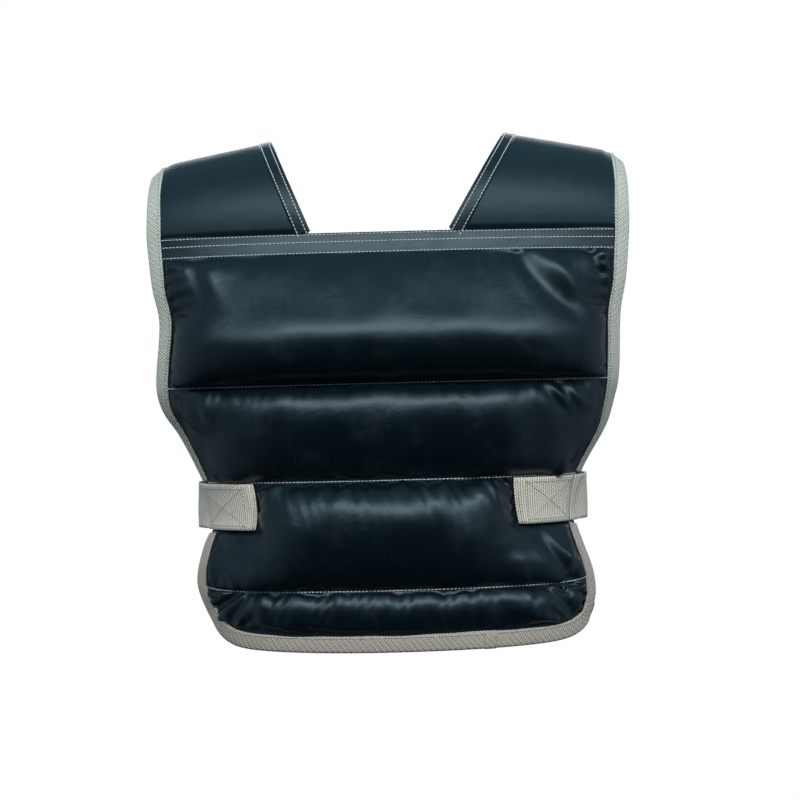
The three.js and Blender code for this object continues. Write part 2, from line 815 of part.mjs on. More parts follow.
addPiece('back_panel', closedSheet(backGrids.outside, backGrids.inside), shell);
addPiece('front_panel', closedSheet(frontGrids.outside, frontGrids.inside), shellInside);
for (const [name, side] of Object.entries(shoulderSides)) {
  const shoulder = shoulderGrids(side);
  addPiece(`shoulder_${name}`, closedSheet(shoulder.outside, shoulder.inside), shell);
  addPiece(`neck_facing_${name}`, neckFacing(shoulder), facing);
  addPiece(`armhole_binding_${name}`, armholeTape(side, shoulder), tape);
  addPiece(`belt_${name}`, belt(side.sign), webbing);
}
addPiece('hem_binding_back', hemTape(backGrids), tape);
addPiece('hem_binding_front', hemTape(frontGrids), tape);
addPiece('front_buckle', buckle(), plastic).position.set(0, buckleY, (beltTop + beltBottom) / 2);

export default group;
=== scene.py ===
"""The looks of a filled training vest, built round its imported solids.

Sizes are in millimetres until a mesh is made, and +Z is up, -Y the back and +X the right side.
"""
import math
from types import SimpleNamespace

import bmesh
import bpy
import numpy as np
from mathutils import Matrix, Vector


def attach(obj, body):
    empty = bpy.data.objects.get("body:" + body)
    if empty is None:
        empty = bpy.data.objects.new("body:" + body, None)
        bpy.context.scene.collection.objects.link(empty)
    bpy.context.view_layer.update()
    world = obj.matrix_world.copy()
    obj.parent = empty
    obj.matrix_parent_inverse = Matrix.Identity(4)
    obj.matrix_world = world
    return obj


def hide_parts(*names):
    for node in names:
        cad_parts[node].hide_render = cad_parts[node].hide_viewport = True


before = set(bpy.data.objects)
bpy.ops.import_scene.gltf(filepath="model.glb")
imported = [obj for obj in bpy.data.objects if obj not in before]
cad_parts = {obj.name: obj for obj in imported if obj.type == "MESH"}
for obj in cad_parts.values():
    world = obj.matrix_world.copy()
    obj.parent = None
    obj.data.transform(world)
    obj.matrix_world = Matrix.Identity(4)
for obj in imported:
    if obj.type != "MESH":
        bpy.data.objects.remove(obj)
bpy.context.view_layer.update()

MM = 0.001

# Cut and place of the panels, as in the part's source
CHEST = 210.0
POWER = 2.6
YOKE_BAND = 18.0
SEAM_WALL = 3.0
TAPE_LEG = 12.0
TAPE_WALL = 1.0
TAPE_WANDER = 0.35
TAPE_GAP = 0.7
FACING_LEG = 11.0
FACING_WALL = 0.5
FACING_WANDER = 0.2
MARGIN = 14.0
CORNER_ROUND = 24.0
END_TAPER = 30.0
SHOULDER_SLOPE = math.tan(math.radians(10.7))
SHOULDER_WALL = 3.0
BELT_DROP = 1.0
BELT_WIDTH = 40.0
BELT_WALL = 1.7
# How far each tab reaches in on the left and right, and where the cloth is free below it
TAB_LENGTHS = {-1: 56.0, 1: 78.0}
TAB_FOOT = 44.0

# Camera's turn in degrees, and the colours round the vest: the levels are shares of the sky
CAMERA_TURN = 1.5
SKY_LEVELS = (0.42, 0.62, 1.0)
GROUND_COLOR = (0.006, 0.007, 0.008)
HORIZON_COLOR = (0.035, 0.10, 0.13)
SKY_COLOR = (0.22, 0.38, 0.44)
WALL_COLOR = (0.30, 0.36, 0.42)
LAMP_COLOR = (0.97, 1.0, 1.0)

# How the cloth is laid out and sampled
ARC_SAMPLES = 41
HALF_CUT = 235
ROW_DENSITY = 1.25
LINING_STEP = 3
BEND_STEEPNESS = 14

# How the cloth behaves while it settles
DRAG = 0.9
WEIGHT = 0.004
SEAM_CLEARANCE = 0.3
LEAST_LEAN = 0.08
SWEEPS = 8
SAND_PRESSURE = 0.02

# Spans of the gathers at a seam, and of the wrinkles between two seams
GATHER_SPANS = (37, 21, 13.5, 9.1)
WRINKLE_SPANS = (118, 71, 43)
GATHER_SEED = 7

# The levels of each panel: down as a share of its length, half widths to the left and right
# as shares of the chest, and depths of the edge and the middle as shares of the panel's depth
BACK_SECTIONS = np.array([
    (0.00, 0.970, 1.005, 0.68, 0.900),
    (0.12, 0.950, 0.985, 0.70, 0.985),
    (0.20, 0.925, 0.960, 0.68, 1.000),
    (0.36, 0.950, 0.950, 0.60, 1.000),
    (0.42, 0.930, 0.930, 0.52, 0.990),
    (0.48, 0.868, 0.900, 0.44, 0.980),
    (0.585, 0.785, 0.800, 0.38, 0.955),
    (0.64, 0.750, 0.770, 0.38, 0.950),
    (0.70, 0.738, 0.758, 0.40, 0.950),
    (0.75, 0.775, 0.780, 0.46, 0.955),
    (0.84, 0.805, 0.828, 0.52, 0.970),
    (0.92, 0.762, 0.833, 0.56, 0.985),
    (1.00, 0.735, 0.825, 0.58, 1.000),
])
FRONT_SECTIONS = np.array([
    (0.00, 0.72, 0.72, 0.74, 0.86),
    (0.20, 0.73, 0.73, 0.70, 0.95),
    (0.45, 0.80, 0.80, 0.55, 1.00),
    (0.58, 0.77, 0.77, 0.42, 1.00),
    (0.70, 0.765, 0.765, 0.42, 1.00),
    (0.82, 0.80, 0.80, 0.50, 1.02),
    (1.00, 0.78, 0.78, 0.55, 1.04),
])
# Sign, and as shares of the chest: neck corner on the back, neck edge and outer edge on the
# crest, and rise
SHOULDERS = {
    "left": SimpleNamespace(sign=-1, corner=0.305, neck=0.478, edge=0.965, rise=-0.007),
    "right": SimpleNamespace(sign=1, corner=0.272, neck=0.528, edge=1.012, rise=0.007),
}
FRONT_CORNER = 0.29
# Breadth and length of a shoulder's flat cut
SHOULDER_CUT = (130, 340)
# Creases of the back: side, distance in as a share of the chest, distance down as a share of
# the length, tilt in degrees, reach and breadth as shares of the chest, and depth as a share
# of the first channel's fullness
CREASES = [
    (1, 0.28, 0.17, 62, 0.20, 0.05, 0.30),
    (1, 0.13, 0.13, 70, 0.14, 0.045, 0.30),
    (-1, 0.20, 0.12, 35, 0.12, 0.05, 0.30),
    (-1, 0.10, 0.20, 60, 0.12, 0.045, 0.28),
    (1, 0.24, 0.395, -40, 0.12, 0.045, 0.22),
    (-1, 0.16, 0.40, 40, 0.12, 0.05, 0.25),
    (1, 0.14, 0.53, 75, 0.14, 0.045, 0.30),
    (-1, 0.20, 0.74, -20, 0.14, 0.045, 0.22),
    (1, 0.18, 0.78, 40, 0.16, 0.045, 0.24),
]
# Folds at the ends of the channels, in mm: side, distance in from the side edge, distance
# down from the top, tilt in degrees, half length, breadth and height
END_FOLDS = [
    (1, 66, 38, -50, 40, 9, 3.4), (1, 84, 30, -62, 26, 7, 2.0), (1, 24, 24, -75, 24, 6, 2.4),
    (-1, 13, 40, 70, 20, 6, 1.8), (-1, 58, 34, 75, 17, 8, 1.6), (-1, 34, 58, 40, 22, 7, 1.2),
    (1, 66, 143, -45, 18, 5, 2.2), (1, 50, 144, -42, 15, 5, 1.8), (-1, 33, 151, 40, 20, 7, 2.4),
    (-1, 56, 148, 65, 15, 6, 1.6), (1, 23, 178, 75, 32, 6, 2.6), (1, 42, 207, 80, 14, 6, 2.6),
    (-1, 26, 196, 80, 26, 6, 2.0), (-1, 48, 268, 20, 28, 6, 2.6), (-1, 25, 286, 85, 26, 6, 2.4),
    (1, 34, 286, 60, 30, 6, 2.6), (1, 40, 282, -60, 24, 6, 2.2), (1, 78, 262, 30, 24, 6, 1.4),
    (-1, 70, 334, 20, 22, 5, 1.2), (1, 60, 336, -15, 26, 5, 1.2), (-1, 120, 338, 8, 30, 4, 0.9),
]
# The belts' way from the tabs to the clasp, seen from above, for the left and the right. These
# are points of the part's own route, from a state of it before the last one.
BELT_WAY = {
    -1: [(168.3, -37.6), (171.0, -23.0), (171.9, -9.2), (172.0, 0.2), (168.0, 50.9), (158.3, 86.8),
         (144.2, 108.4), (123.6, 120.9), (102.4, 129.0), (81.2, 134.4), (60.3, 137.8), (36.0, 144.1),
         (23.3, 144.1)],
    1: [(171.6, -37.5), (174.3, -23.0), (175.2, -9.2), (175.3, 0.4), (168.0, 51.1), (158.3, 86.8),
        (144.2, 108.4), (123.6, 120.9), (102.4, 129.0), (81.2, 134.4), (60.3, 137.8), (36.0, 144.1),
        (23.3, 144.1)],
}
# How strongly each channel gathers at its upper and lower seams, and wrinkles between them
BACK_GATHERS = [(0.2, 0.4, 0.22), (0.9, 0.6, 0.32), (2.3, 0.6, 0.35), (1.7, 0.8, 0.35)]
FRONT_GATHERS = [(0.4, 0.3, 0.25)] * 4

# How much further each tab reaches in at its top and at its bottom corner
TAB_SLANT = {-1: (13.0, 5.0), 1: (7.0, -6.0)}

# Where the end of the hem tape lies over its beginning, and half the length of that lap
JOIN_PLACE = 82.0
JOIN_REACH = 8

# Rows of stitches on the yoke band, as distances below the top edge
YOKE_ROWS = (1.4, 8.0, 17.4)

# How many rows of points of the webbing lie on each sewn tab, and the boxed cross on it
TAB_COLUMNS = {-1: 25, 1: 19}
TAB_BOX = [(0.12, 0.1), (0.93, 0.1), (0.93, 0.9), (0.12, 0.9)]

# How far past the tab each crumple of a belt lies, how high it stands and how broad it is
BELT_RIDGES = {-1: [(4.0, 1.0, 2.2)], 1: [(-10.0, 2.8, 2.4), (-3.5, 3.4, 2.2), (4.5, 2.6, 2.4)]}


def channel(height, full, peak, overhang, wide, long, push, lean):
    """A filled channel. wide and long are its spare cloth, push is how the sand presses down
    its height, in even steps, and lean how far the channel hangs over the next."""
    return SimpleNamespace(height=height, full=full, peak=peak, overhang=overhang, wide=wide,
                           long=long, push=push, lean=lean, start=0.0)


def panel(facing, top, depth, table, sweep, band, rows):
    """A panel: facing is -1 for the back, sweep how far its seams rise to the sides, and band
    the flat cloth above its first channel."""
    for row in rows:
        row.start = band
        band += row.height
    return SimpleNamespace(facing=facing, top=top, depth=depth, table=table, rows=rows,
                           sweep=sweep, length=band + MARGIN)


BACK = panel(-1, -79.5, 120.0, BACK_SECTIONS, 5.0, YOKE_BAND, [
    channel(112, 35, 0.65, 0.02, 0.02, 0.17, (0.5, 0.15, 0.0, 1.0, 1.0, 0.1), lean=-0.12),
    channel(83, 18, 0.30, 0.14, 0.02, 0.07, (3.4, 1.0, 0.4, 1.4), lean=0.30),
    channel(94, 21, 0.34, 0.12, 0.04, 0.10, (2.4, 1.3, 0.5, 1.4), lean=0.26),
    channel(36, 10, 0.28, 0.05, 0.02, 0.06, (1.2, 0.3), lean=0.0),
])
# The belts lie just under the seam above the third channel.
BELT_TOP = BACK.top - BACK.rows[2].start - BELT_DROP
FRONT = panel(1, -117.0, 112.0, FRONT_SECTIONS, 4.0, 16.0, [
    channel(70, 24, 0.62, 0.08, 0.03, 0.24, (0.3, 0.8, 1.0), lean=0.1) for _ in range(4)
])


def ease(low, high, value):
    """0 below low and 1 above high, with a smooth way between them."""
    share = np.clip((value - low) / (high - low), 0, 1)
    return share * share * (3 - 2 * share)


def read_column(table, column, down):
    """One column of a table of sections, read smoothly at shares of the length."""
    levels, values = table[:, 0], table[:, column]
    slopes = np.empty_like(values)
    slopes[1:-1] = (values[2:] - values[:-2]) / (levels[2:] - levels[:-2])
    slopes[0] = (values[1] - values[0]) / (levels[1] - levels[0])
    slopes[-1] = (values[-1] - values[-2]) / (levels[-1] - levels[-2])
    at = np.clip(down, levels[0], levels[-1])
    row = np.clip(np.searchsorted(levels, at, side="right") - 1, 0, len(levels) - 2)
    step = levels[row + 1] - levels[row]
    t = (at - levels[row]) / step
    value = values[row] * (1 + 2 * t) * (1 - t) ** 2 + values[row + 1] * (3 - 2 * t) * t ** 2
    return value + step * (slopes[row] * t * (1 - t) ** 2 - slopes[row + 1] * (1 - t) * t ** 2)


def seam_surface(which, across, z):
    """Points of a panel's seam surface, the way out of it, and the cloth to edge and middle."""
    across, z = np.broadcast_arrays(np.asarray(across, float), np.asarray(z, float))
    sign = np.where(across < 0, -1.0, 1.0)
    down = (which.top - z) / which.length
    half = np.where(sign < 0, read_column(which.table, 1, down), read_column(which.table, 2, down))
    edge_x = CHEST * half
    middle_y = which.depth * read_column(which.table, 4, down)
    edge_share = read_column(which.table, 3, down) * which.depth / middle_y
    side_x = edge_x / (1 - edge_share ** POWER) ** (1 / POWER)
    shares = np.sin(np.linspace(0, 1, ARC_SAMPLES) * np.pi / 2)
    x = edge_x[..., None] * shares
    y = middle_y[..., None] * (1 - (x / side_x[..., None]) ** POWER) ** (1 / POWER)
    run = np.cumsum(np.hypot(np.diff(x), np.diff(y)), axis=-1)
    run = np.concatenate([np.zeros(run.shape[:-1] + (1,)), run], axis=-1)
    length = run[..., -1]
    reach = np.abs(across) * length
    index = np.clip((run < reach[..., None]).sum(-1), 1, ARC_SAMPLES - 1)[..., None]
    pick = lambda values, at: np.take_along_axis(values, at, -1)[..., 0]
    low, high = pick(run, index - 1), pick(run, index)
    t = (reach - low) / (high - low)
    px = pick(x, index - 1) * (1 - t) + pick(x, index) * t
    py = pick(y, index - 1) * (1 - t) + pick(y, index) * t
    out_x = sign * (px / side_x) ** (POWER - 1) / side_x
    out_y = which.facing * (py / middle_y) ** (POWER - 1) / middle_y
    outward = np.stack([out_x, out_y, np.zeros_like(out_x)], -1)
    outward /= np.linalg.norm(outward, axis=-1, keepdims=True)
    point = np.stack([sign * px, which.facing * py, z], -1)
    return point, outward, length - reach, reach


def crease_depth(side, to_edge, down):
    """How far the named creases draw the back's cloth in."""
    depth = np.zeros_like(to_edge)
    for sign, inset, level, tilt, reach, breadth, deep in CREASES:
        turn = math.radians(tilt)
        inward = to_edge - inset * CHEST
        below = down - level * BACK.length
        along = inward * math.cos(turn) + below * math.sin(turn)
        beside = below * math.cos(turn) - inward * math.sin(turn)
        fade = (along / (reach * CHEST)) ** 2 + (beside / (breadth * CHEST)) ** 2
        depth += np.where(side == sign, deep * BACK.rows[0].full * np.exp(-fade), 0)
    return depth


def tab_reach(sign, below):
    """How far a tab reaches in from the side edge, at a distance below the belt's top edge."""
    top, bottom = TAB_SLANT[sign]
    return TAB_LENGTHS[sign] + top + (bottom - top) * np.clip(below / BELT_WIDTH, 0, 1)


def panel_cloth(which, cell):
    """A panel's outer cloth before it settles: a grid of points, with its cut and its seams."""
    downs, rows, shares, cut = [], [], [], []
    level = 0.0

    def add_rows(start, height, count, row, spare):
        nonlocal level
        for step in range(count):
            downs.append(start + height * step / count)
            rows.append(row)
            shares.append(step / count)
            cut.append(level)
            level += height / count * (1 + spare)

    band = which.rows[0].start
    add_rows(0, band, max(3, round(band / cell)), -1, 0)
    for number, row in enumerate(which.rows):
        add_rows(row.start, row.height, round(row.height * ROW_DENSITY / cell), number, row.long)
    add_rows(which.length - MARGIN, MARGIN, max(3, round(MARGIN / cell)), -1, 0)
    downs.append(which.length)
    rows.append(-1)
    shares.append(0.0)
    cut.append(level)
    down = np.array(downs)[:, None]
    row = np.array(rows)[:, None]
    share = np.array(shares)[:, None]
    cut = np.array(cut)[:, None]

    count = 2 * round(HALF_CUT / cell) + 1
    across = np.linspace(-1, 1, count)[None, :]
    lift = which.sweep * across ** 2 + CORNER_ROUND * np.abs(across) ** BEND_STEEPNESS
    lift = lift * np.minimum(1, down / (which.length - MARGIN)) ** 12
    z = which.top - down + lift
    _, outward, to_edge, to_middle = seam_surface(which, across, z)

    def per_row(name, band_value):
        values = np.array([getattr(item, name) for item in which.rows] + [band_value], float)
        return values[row]

    peak = per_row("peak", 0.5)
    bulge = np.sin(np.pi * share ** (math.log(0.5) / np.log(peak))) ** 0.8
    bulge = np.where(row < 0, 0, bulge)
    sag = share ** 3 * (1 - share) / (0.75 ** 3 * 0.25)
    fill = np.sin(np.clip((to_edge - MARGIN) / END_TAPER, 0, 1) * np.pi / 2) ** 0.8
    out = per_row("full", 0) * bulge * fill
    held = np.ones_like(out)
    tab = np.zeros(out.shape, bool)
    if which is BACK:
        side = np.where(across < 0, -1, 1) + 0 * down
        out = out - crease_depth(side, to_edge, down) * bulge * fill
        third = which.rows[2]
        tab_length = np.where(across < 0, tab_reach(-1, down - third.start),
                              tab_reach(1, down - third.start))
        beside = 1 - ease(tab_length + 13, tab_length + 28, to_edge)
        under = np.where(row == 2, 1 - ease(TAB_FOOT, TAB_FOOT + 15, down - third.start), 0)
        out = out * (1 - beside * under)
        held = np.where(down < third.start, 1 - beside, 1 - beside * under)
        tab = (row == 2) & (down - third.start < TAB_FOOT) & (to_edge < tab_length + 3)
    drop = per_row("height", 0) * per_row("overhang", 0) * sag * fill * held
    plane = seam_surface(which, across, z - drop)[0]
    start = plane + outward * (SEAM_WALL / 2 + np.maximum(out, 0))[..., None]

    seam = (share < 1e-6) | (row < 0)
    sewn = (seam + 0 * across > 0) | (to_edge < MARGIN) | tab
    # The cloth is cut wider and longer than the place it is sewn to, and least so at the ends.
    wide = 1 + per_row("wide", 0.0)
    ends = 0.6 + 0.4 * ease(MARGIN, MARGIN + 46, to_edge)
    run = np.sign(across) * to_middle
    uneven = sum(np.sin(run / span + phase) * span for span, phase in
                 ((61, 0.4), (23, 2.1), (11.5, 4.0), (7.1, 1.1)))
    flat_x = run * wide + uneven * (wide - 1) * 0.55
    flat_z = -(down + (cut - down) * ends)
    flat = np.stack([flat_x, np.zeros_like(flat_x), flat_z], -1)
    seam_rows = [i for i in range(1, len(downs)) if (shares[i] < 1e-6 and rows[i] != rows[i - 1])]
    return SimpleNamespace(start=start, flat=flat, sewn=sewn, z=z, across=across, down=down,
                           row=row, share=share, to_edge=to_edge, outward=outward,
                           seam_rows=seam_rows)


def grid_faces(rows, columns, base=0, turned=False):
    """The quads of a grid whose points are numbered row by row from base."""
    index = base + np.arange(rows * columns).reshape(rows, columns)
    a, b = index[:-1, :-1].ravel(), index[1:, :-1].ravel()
    c, d = index[1:, 1:].ravel(), index[:-1, 1:].ravel()
    return np.stack([a, d, c, b] if turned else [a, b, c, d], -1)


def grid_normals(grid):
    """Unit normals of a grid: rows go down and columns to the right, seen from outside."""
    down = np.gradient(grid, axis=0)
    right = np.gradient(grid, axis=1)
    normal = np.cross(down, right)
    return normal / np.maximum(np.linalg.norm(normal, axis=-1, keepdims=True), 1e-9)


def keep_lengths(points, free, a, b, rest, stretch, squeeze):
    """Moves the points a and b of each pair towards the length that the cloth was cut to."""
    gap = points[b] - points[a]
    length = np.sqrt(np.einsum("...i,...i", gap, gap)) + 1e-9
    over = length - rest
    weight = free[a] + free[b]
    share = np.where(over > 0, stretch, squeeze) * over / (length * np.maximum(weight, 1e-9))
    move = gap * share[..., None]
    points[a] += move * free[a][..., None]
    points[b] -= move * free[b][..., None]


# Row step, column step, and how firmly a pair resists stretch and squeeze: the threads one way
# and the other, the diagonals, and the bends.
THREADS = [(0, 1, 1.0, 0.5), (1, 0, 1.0, 0.5), (1, 1, 0.35, 0.25), (1, -1, 0.35, 0.25),
           (0, 2, 0.0, 0.12), (2, 0, 0.0, 0.12)]


def cloth_pairs(flat):
    """The threads, diagonals and bends of a cloth grid, in sets whose pairs share no point."""
    rows, columns = flat.shape[:2]
    pairs = []
    for row_step, column_step, stretch, squeeze in THREADS:
        step = row_step or column_step
        size = rows if row_step else columns
        for phase in range(2 * step):
            first = slice(phase, size - step, 2 * step)
            second = slice(phase + step, size, 2 * step)
            if row_step:
                a = (first, slice(max(0, -column_step), columns - max(0, column_step)))
                b = (second, slice(max(0, column_step), columns - max(0, -column_step)))
            else:
                a, b = (slice(None), first), (slice(None), second)
            rest = np.linalg.norm(flat[b] - flat[a], axis=-1).astype(np.float32)
            pairs.append((a, b, rest, stretch, squeeze))
    return pairs


def settle(which, cloth, steps):
    """Lets sewn cloth settle round its sand, and gives back its grid of points.

    The sand presses more the deeper it lies. Where two channels meet, each stays on its own
    side of a plane that slopes down and out from the seam between them.
    """
    single = lambda values: np.asarray(values, np.float32)
    free = single(np.where(cloth.sewn, 0.0, 1.0))
    pairs = cloth_pairs(cloth.flat)
    points = single(cloth.start).copy()
    speed = np.zeros_like(points)
    plane, outward = (single(values) for values in seam_surface(which, cloth.across, cloth.z)[:2])
    filled = np.zeros_like(free)
    upper, lower = np.full_like(free, 1e6), np.full_like(free, -1e6)
    upper_lean, lower_lean = np.zeros_like(free), np.zeros_like(free)
    for number, row in enumerate(which.rows):
        here = cloth.row + 0 * cloth.across.astype(int) == number
        push_here = np.interp(cloth.share, np.linspace(0, 1, len(row.push)), row.push)
        filled += np.where(here, push_here, 0)
        if number:
            upper[here] = np.broadcast_to(cloth.z[cloth.seam_rows[number]], free.shape)[here]
            upper_lean[here] = max(which.rows[number - 1].lean, LEAST_LEAN)
        if number + 1 < len(which.rows):
            lower[here] = np.broadcast_to(cloth.z[cloth.seam_rows[number + 1]], free.shape)[here]
            lower_lean[here] = row.lean
    for step in range(steps):
        area = np.cross(np.gradient(points, axis=0), np.gradient(points, axis=1))
        area *= np.sign(np.einsum("...i,...i", area, outward).mean())
        speed = speed * DRAG + area * (filled * SAND_PRESSURE * free)[..., None]
        speed[..., 2] -= WEIGHT * free
        before = points.copy()
        points += speed
        for _ in range(SWEEPS):
            for a, b, rest, stretch, squeeze in pairs:
                keep_lengths(points, free, a, b, rest, stretch, squeeze)
        out = np.einsum("...i,...i", points - plane, outward)
        floor = lower - lower_lean * np.maximum(out, 0) + SEAM_CLEARANCE
        roof = np.maximum(upper - upper_lean * np.maximum(out, 0) - SEAM_CLEARANCE, floor)
        level = np.clip(points[..., 2], floor, roof)
        points[..., 2] = np.where(free > 0, level, points[..., 2])
        points += outward * (np.maximum(SEAM_WALL / 2 - out, 0) * free)[..., None]
        speed = points - before
    return points.astype(float)


def finer(grid):
    """The same grid with a smooth row and column between each two."""
    for axis in (0, 1):
        grid = np.moveaxis(grid, axis, 0)
        ends = np.concatenate([2 * grid[:1] - grid[1:2], grid, 2 * grid[-1:] - grid[-2:-1]])
        between = (9 * (ends[1:-2] + ends[2:-1]) - ends[:-3] - ends[3:]) / 16
        whole = np.empty((2 * len(grid) - 1,) + grid.shape[1:])
        whole[0::2], whole[1::2] = grid, between
        grid = np.moveaxis(whole, 0, axis)
    return grid


def folds(dice, x, down, spans):
    """Uneven folds that run down from a seam, some leaning one way and some the other."""
    total = np.zeros_like(x)
    for span in spans:
        lean, phase = dice.uniform(-0.5, 0.5), dice.uniform(0, 6.3)
        bend = 0.12 * span * np.sin(down / dice.uniform(8, 20) + phase)
        gate = 0.5 + 0.5 * np.sin(x / (span * dice.uniform(0.45, 0.8)) + dice.uniform(0, 6.3))
        wave = np.sin(2 * np.pi * (x + lean * down + bend) / span + phase)
        total += 0.03 * span * gate * wave
    return total


def gathered(cloth, grid, normal, strengths, end_folds):
    """Cloth with small gathers where it runs into its seams, and with soft wrinkles between.

    Each channel has the strengths of its gathers above and below and of its wrinkles.
    """
    dice = np.random.default_rng(GATHER_SEED)
    flat = finer(cloth.flat)
    x, down = flat[..., 0], -flat[..., 2]
    free = np.clip(finer(np.where(cloth.sewn, 0.0, 1.0)[..., None])[..., 0], 0, 1)
    to_edge = finer(cloth.to_edge[..., None])[..., 0]
    near_end = 1 - ease(20, 80, to_edge)
    height = np.zeros_like(x)
    for number, (above, below, between) in enumerate(strengths):
        first, last = 2 * cloth.seam_rows[number], 2 * cloth.seam_rows[number + 1]
        here = slice(first, last + 1)
        for level, strength, reach in ((down[first], above, 20), (down[last], below, 14)):
            away = np.abs(down[here] - level)
            strength = strength + 0.8 * near_end[here]
            run_in = np.exp(-away / reach) * ease(0, 5, away)
            height[here] += strength * run_in * folds(dice, x[here], away, GATHER_SPANS)
        wrinkles = folds(dice, x[here], down[here], WRINKLE_SPANS)
        dents = (np.sin(x[here] / 13 + 2 * np.sin(down[here] / 31))
                 * np.sin(down[here] / 8.5 + x[here] / 47))
        height[here] += between * (wrinkles + 0.9 * dents)
    level = finer((cloth.down + 0 * cloth.to_edge)[..., None])[..., 0]
    for side, inset, under, tilt, reach, breadth, tall in end_folds:
        turn = math.radians(tilt)
        inward, below = to_edge - inset, level - under
        ahead = inward * math.cos(turn) + below * math.sin(turn)
        beside = (below * math.cos(turn) - inward * math.sin(turn)) + (ahead / reach) ** 2 * 3
        ridge = np.exp(-(beside / breadth) ** 2) - 0.9 * np.exp(-(beside / breadth - 1.5) ** 2)
        fold = tall * ridge * np.exp(-(ahead / reach) ** 2)
        height += np.where(np.sign(x) == side, fold, 0)
    return grid + normal * (height * free)[..., None]


def lining(which, cloth):
    """The cloth on the wearer's side, a grid with the same rows and columns."""
    swell = 4.0 * np.where(cloth.row < 0, 0, np.sin(np.pi * cloth.share))
    swell = swell * np.clip((cloth.to_edge - MARGIN) / END_TAPER, 0, 1)
    plane, outward = seam_surface(which, cloth.across, cloth.z)[:2]
    return plane - outward * (SEAM_WALL / 2 + swell)[..., None]


def shoulder_sheet(side, rows=72, columns=34):
    """The middle of a shoulder panel's cloth, from the back seam over the crest to the front."""
    turn = np.linspace(0, 1, rows + 1)[:, None]
    w = np.linspace(0, 1, columns + 1)[None, :]
    crest = CHEST * (side.neck + (side.edge - side.neck) * w)
    middle = CHEST * (side.neck + side.edge) / 2
    droop = 8.0 * np.clip((crest - CHEST * side.edge + 20.0) / 20.0, 0, 1) ** 2
    crest_z = SHOULDER_WALL / 2 + (middle - crest) * SHOULDER_SLOPE - droop + side.rise * CHEST
    height = np.sin(turn * np.pi) ** 0.9
    near = np.abs(np.cos(turn * np.pi)) ** 0.9
    sheet = np.empty((rows + 1, columns + 1, 3))
    for which, corner, here in ((BACK, side.corner, turn[:, 0] <= 0.5),
                                (FRONT, FRONT_CORNER, turn[:, 0] > 0.5)):
        shares = np.linspace(0, 1, 400)
        edge = np.abs(seam_surface(which, side.sign * shares, which.top)[0][:, 0])
        first = np.interp(corner * CHEST, edge, shares)
        seam = seam_surface(which, side.sign * (first + (1 - first) * w[0]), which.top)[0]
        h, n = height[here], near[here]
        sheet[here, :, 0] = seam[:, 0] * (1 - h) + side.sign * crest * h
        sheet[here, :, 1] = seam[:, 1] * n
        sheet[here, :, 2] = (which.top + 0.3) * (1 - h) + crest_z * h
    return sheet


def zip_sides(fine, coarse):
    """Triangles between two runs of points that start and end together."""
    faces, i, j = [], 0, 0
    while i < len(fine) - 1 or j < len(coarse) - 1:
        if j == len(coarse) - 1 or (i < len(fine) - 1 and
                                    (i + 1) * (len(coarse) - 1) <= (j + 1) * (len(fine) - 1)):
            faces.append((fine[i], fine[i + 1], coarse[j]))
            i += 1
        else:
            faces.append((fine[i], coarse[j + 1], coarse[j]))
            j += 1
    return faces


def new_piece(name, points, faces, cuts, material, slot, *replaces):
    """A closed piece from points in millimetres, with the cloth's flat cut as its map, if any."""
    mesh = bpy.data.meshes.new(name)
    points = np.asarray(points, float).reshape(-1, 3)
    mesh.from_pydata((points * MM).tolist(), [], [list(map(int, face)) for face in faces])
    work = bmesh.new()
    work.from_mesh(mesh)
    bmesh.ops.recalc_face_normals(work, faces=work.faces)
    work.to_mesh(mesh)
    work.free()
    mesh.polygons.foreach_set("use_smooth", np.ones(len(mesh.polygons), bool))
    if cuts is not None:
        corners = np.empty(len(mesh.loops), int)
        mesh.loops.foreach_get("vertex_index", corners)
        layer = mesh.uv_layers.new(name="cut")
        flat = np.asarray(cuts, float).reshape(-1, 2) * MM
        layer.data.foreach_set("uv", flat[corners].astype(np.float32).ravel())
    mesh.materials.append(material)
    piece = bpy.data.objects.new(name, mesh)
    bpy.context.scene.collection.objects.link(piece)
    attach(piece, "root")
    if replaces:
        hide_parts(*replaces)
    return piece


def sheet_body(outer, inner):
    """A closed body between two grids, the inner of which may be coarser."""
    (r, c), (ri, ci) = outer.shape[:2], inner.shape[:2]
    a = np.arange(r * c).reshape(r, c)
    b = r * c + np.arange(ri * ci).reshape(ri, ci)
    faces = grid_faces(r, c).tolist() + grid_faces(ri, ci, r * c, turned=True).tolist()
    for fine, coarse in ((a[0], b[0]), (a[-1], b[-1]), (a[:, 0], b[:, 0]), (a[:, -1], b[:, -1])):
        faces += zip_sides(fine, coarse)
    points = np.concatenate([outer.reshape(-1, 3), inner.reshape(-1, 3)])
    return points, faces


def cut_of_faces(run, rise):
    """The flat cut of a band's two faces, from how far its points lie along and across it."""
    flat = np.stack(np.broadcast_arrays(run, rise), -1).reshape(-1, 2)
    return np.concatenate([flat, flat])


def along(path):
    """The length along a path at each of its points."""
    return np.concatenate([[0], np.cumsum(np.linalg.norm(np.diff(path, axis=0), axis=1))])


def respaced(path, pitch, *others):
    """A path and what goes with it, at an even pitch."""
    run = along(path)
    at = np.linspace(0, run[-1], max(2, round(run[-1] / pitch) + 1))
    read = lambda values: np.stack([np.interp(at, run, values[:, k]) for k in range(3)], -1)
    return [read(values) for values in (path, *others)]


def eased(values, width):
    """A run of values, smoothed over a number of points each way."""
    padded = np.concatenate([values[:1]] * width + [values] + [values[-1:]] * width)
    kernel = np.hanning(2 * width + 3)[1:-1]
    kernel /= kernel.sum()
    columns = range(values.shape[1])
    return np.stack([np.convolve(padded[:, k], kernel, "valid") for k in columns], -1)


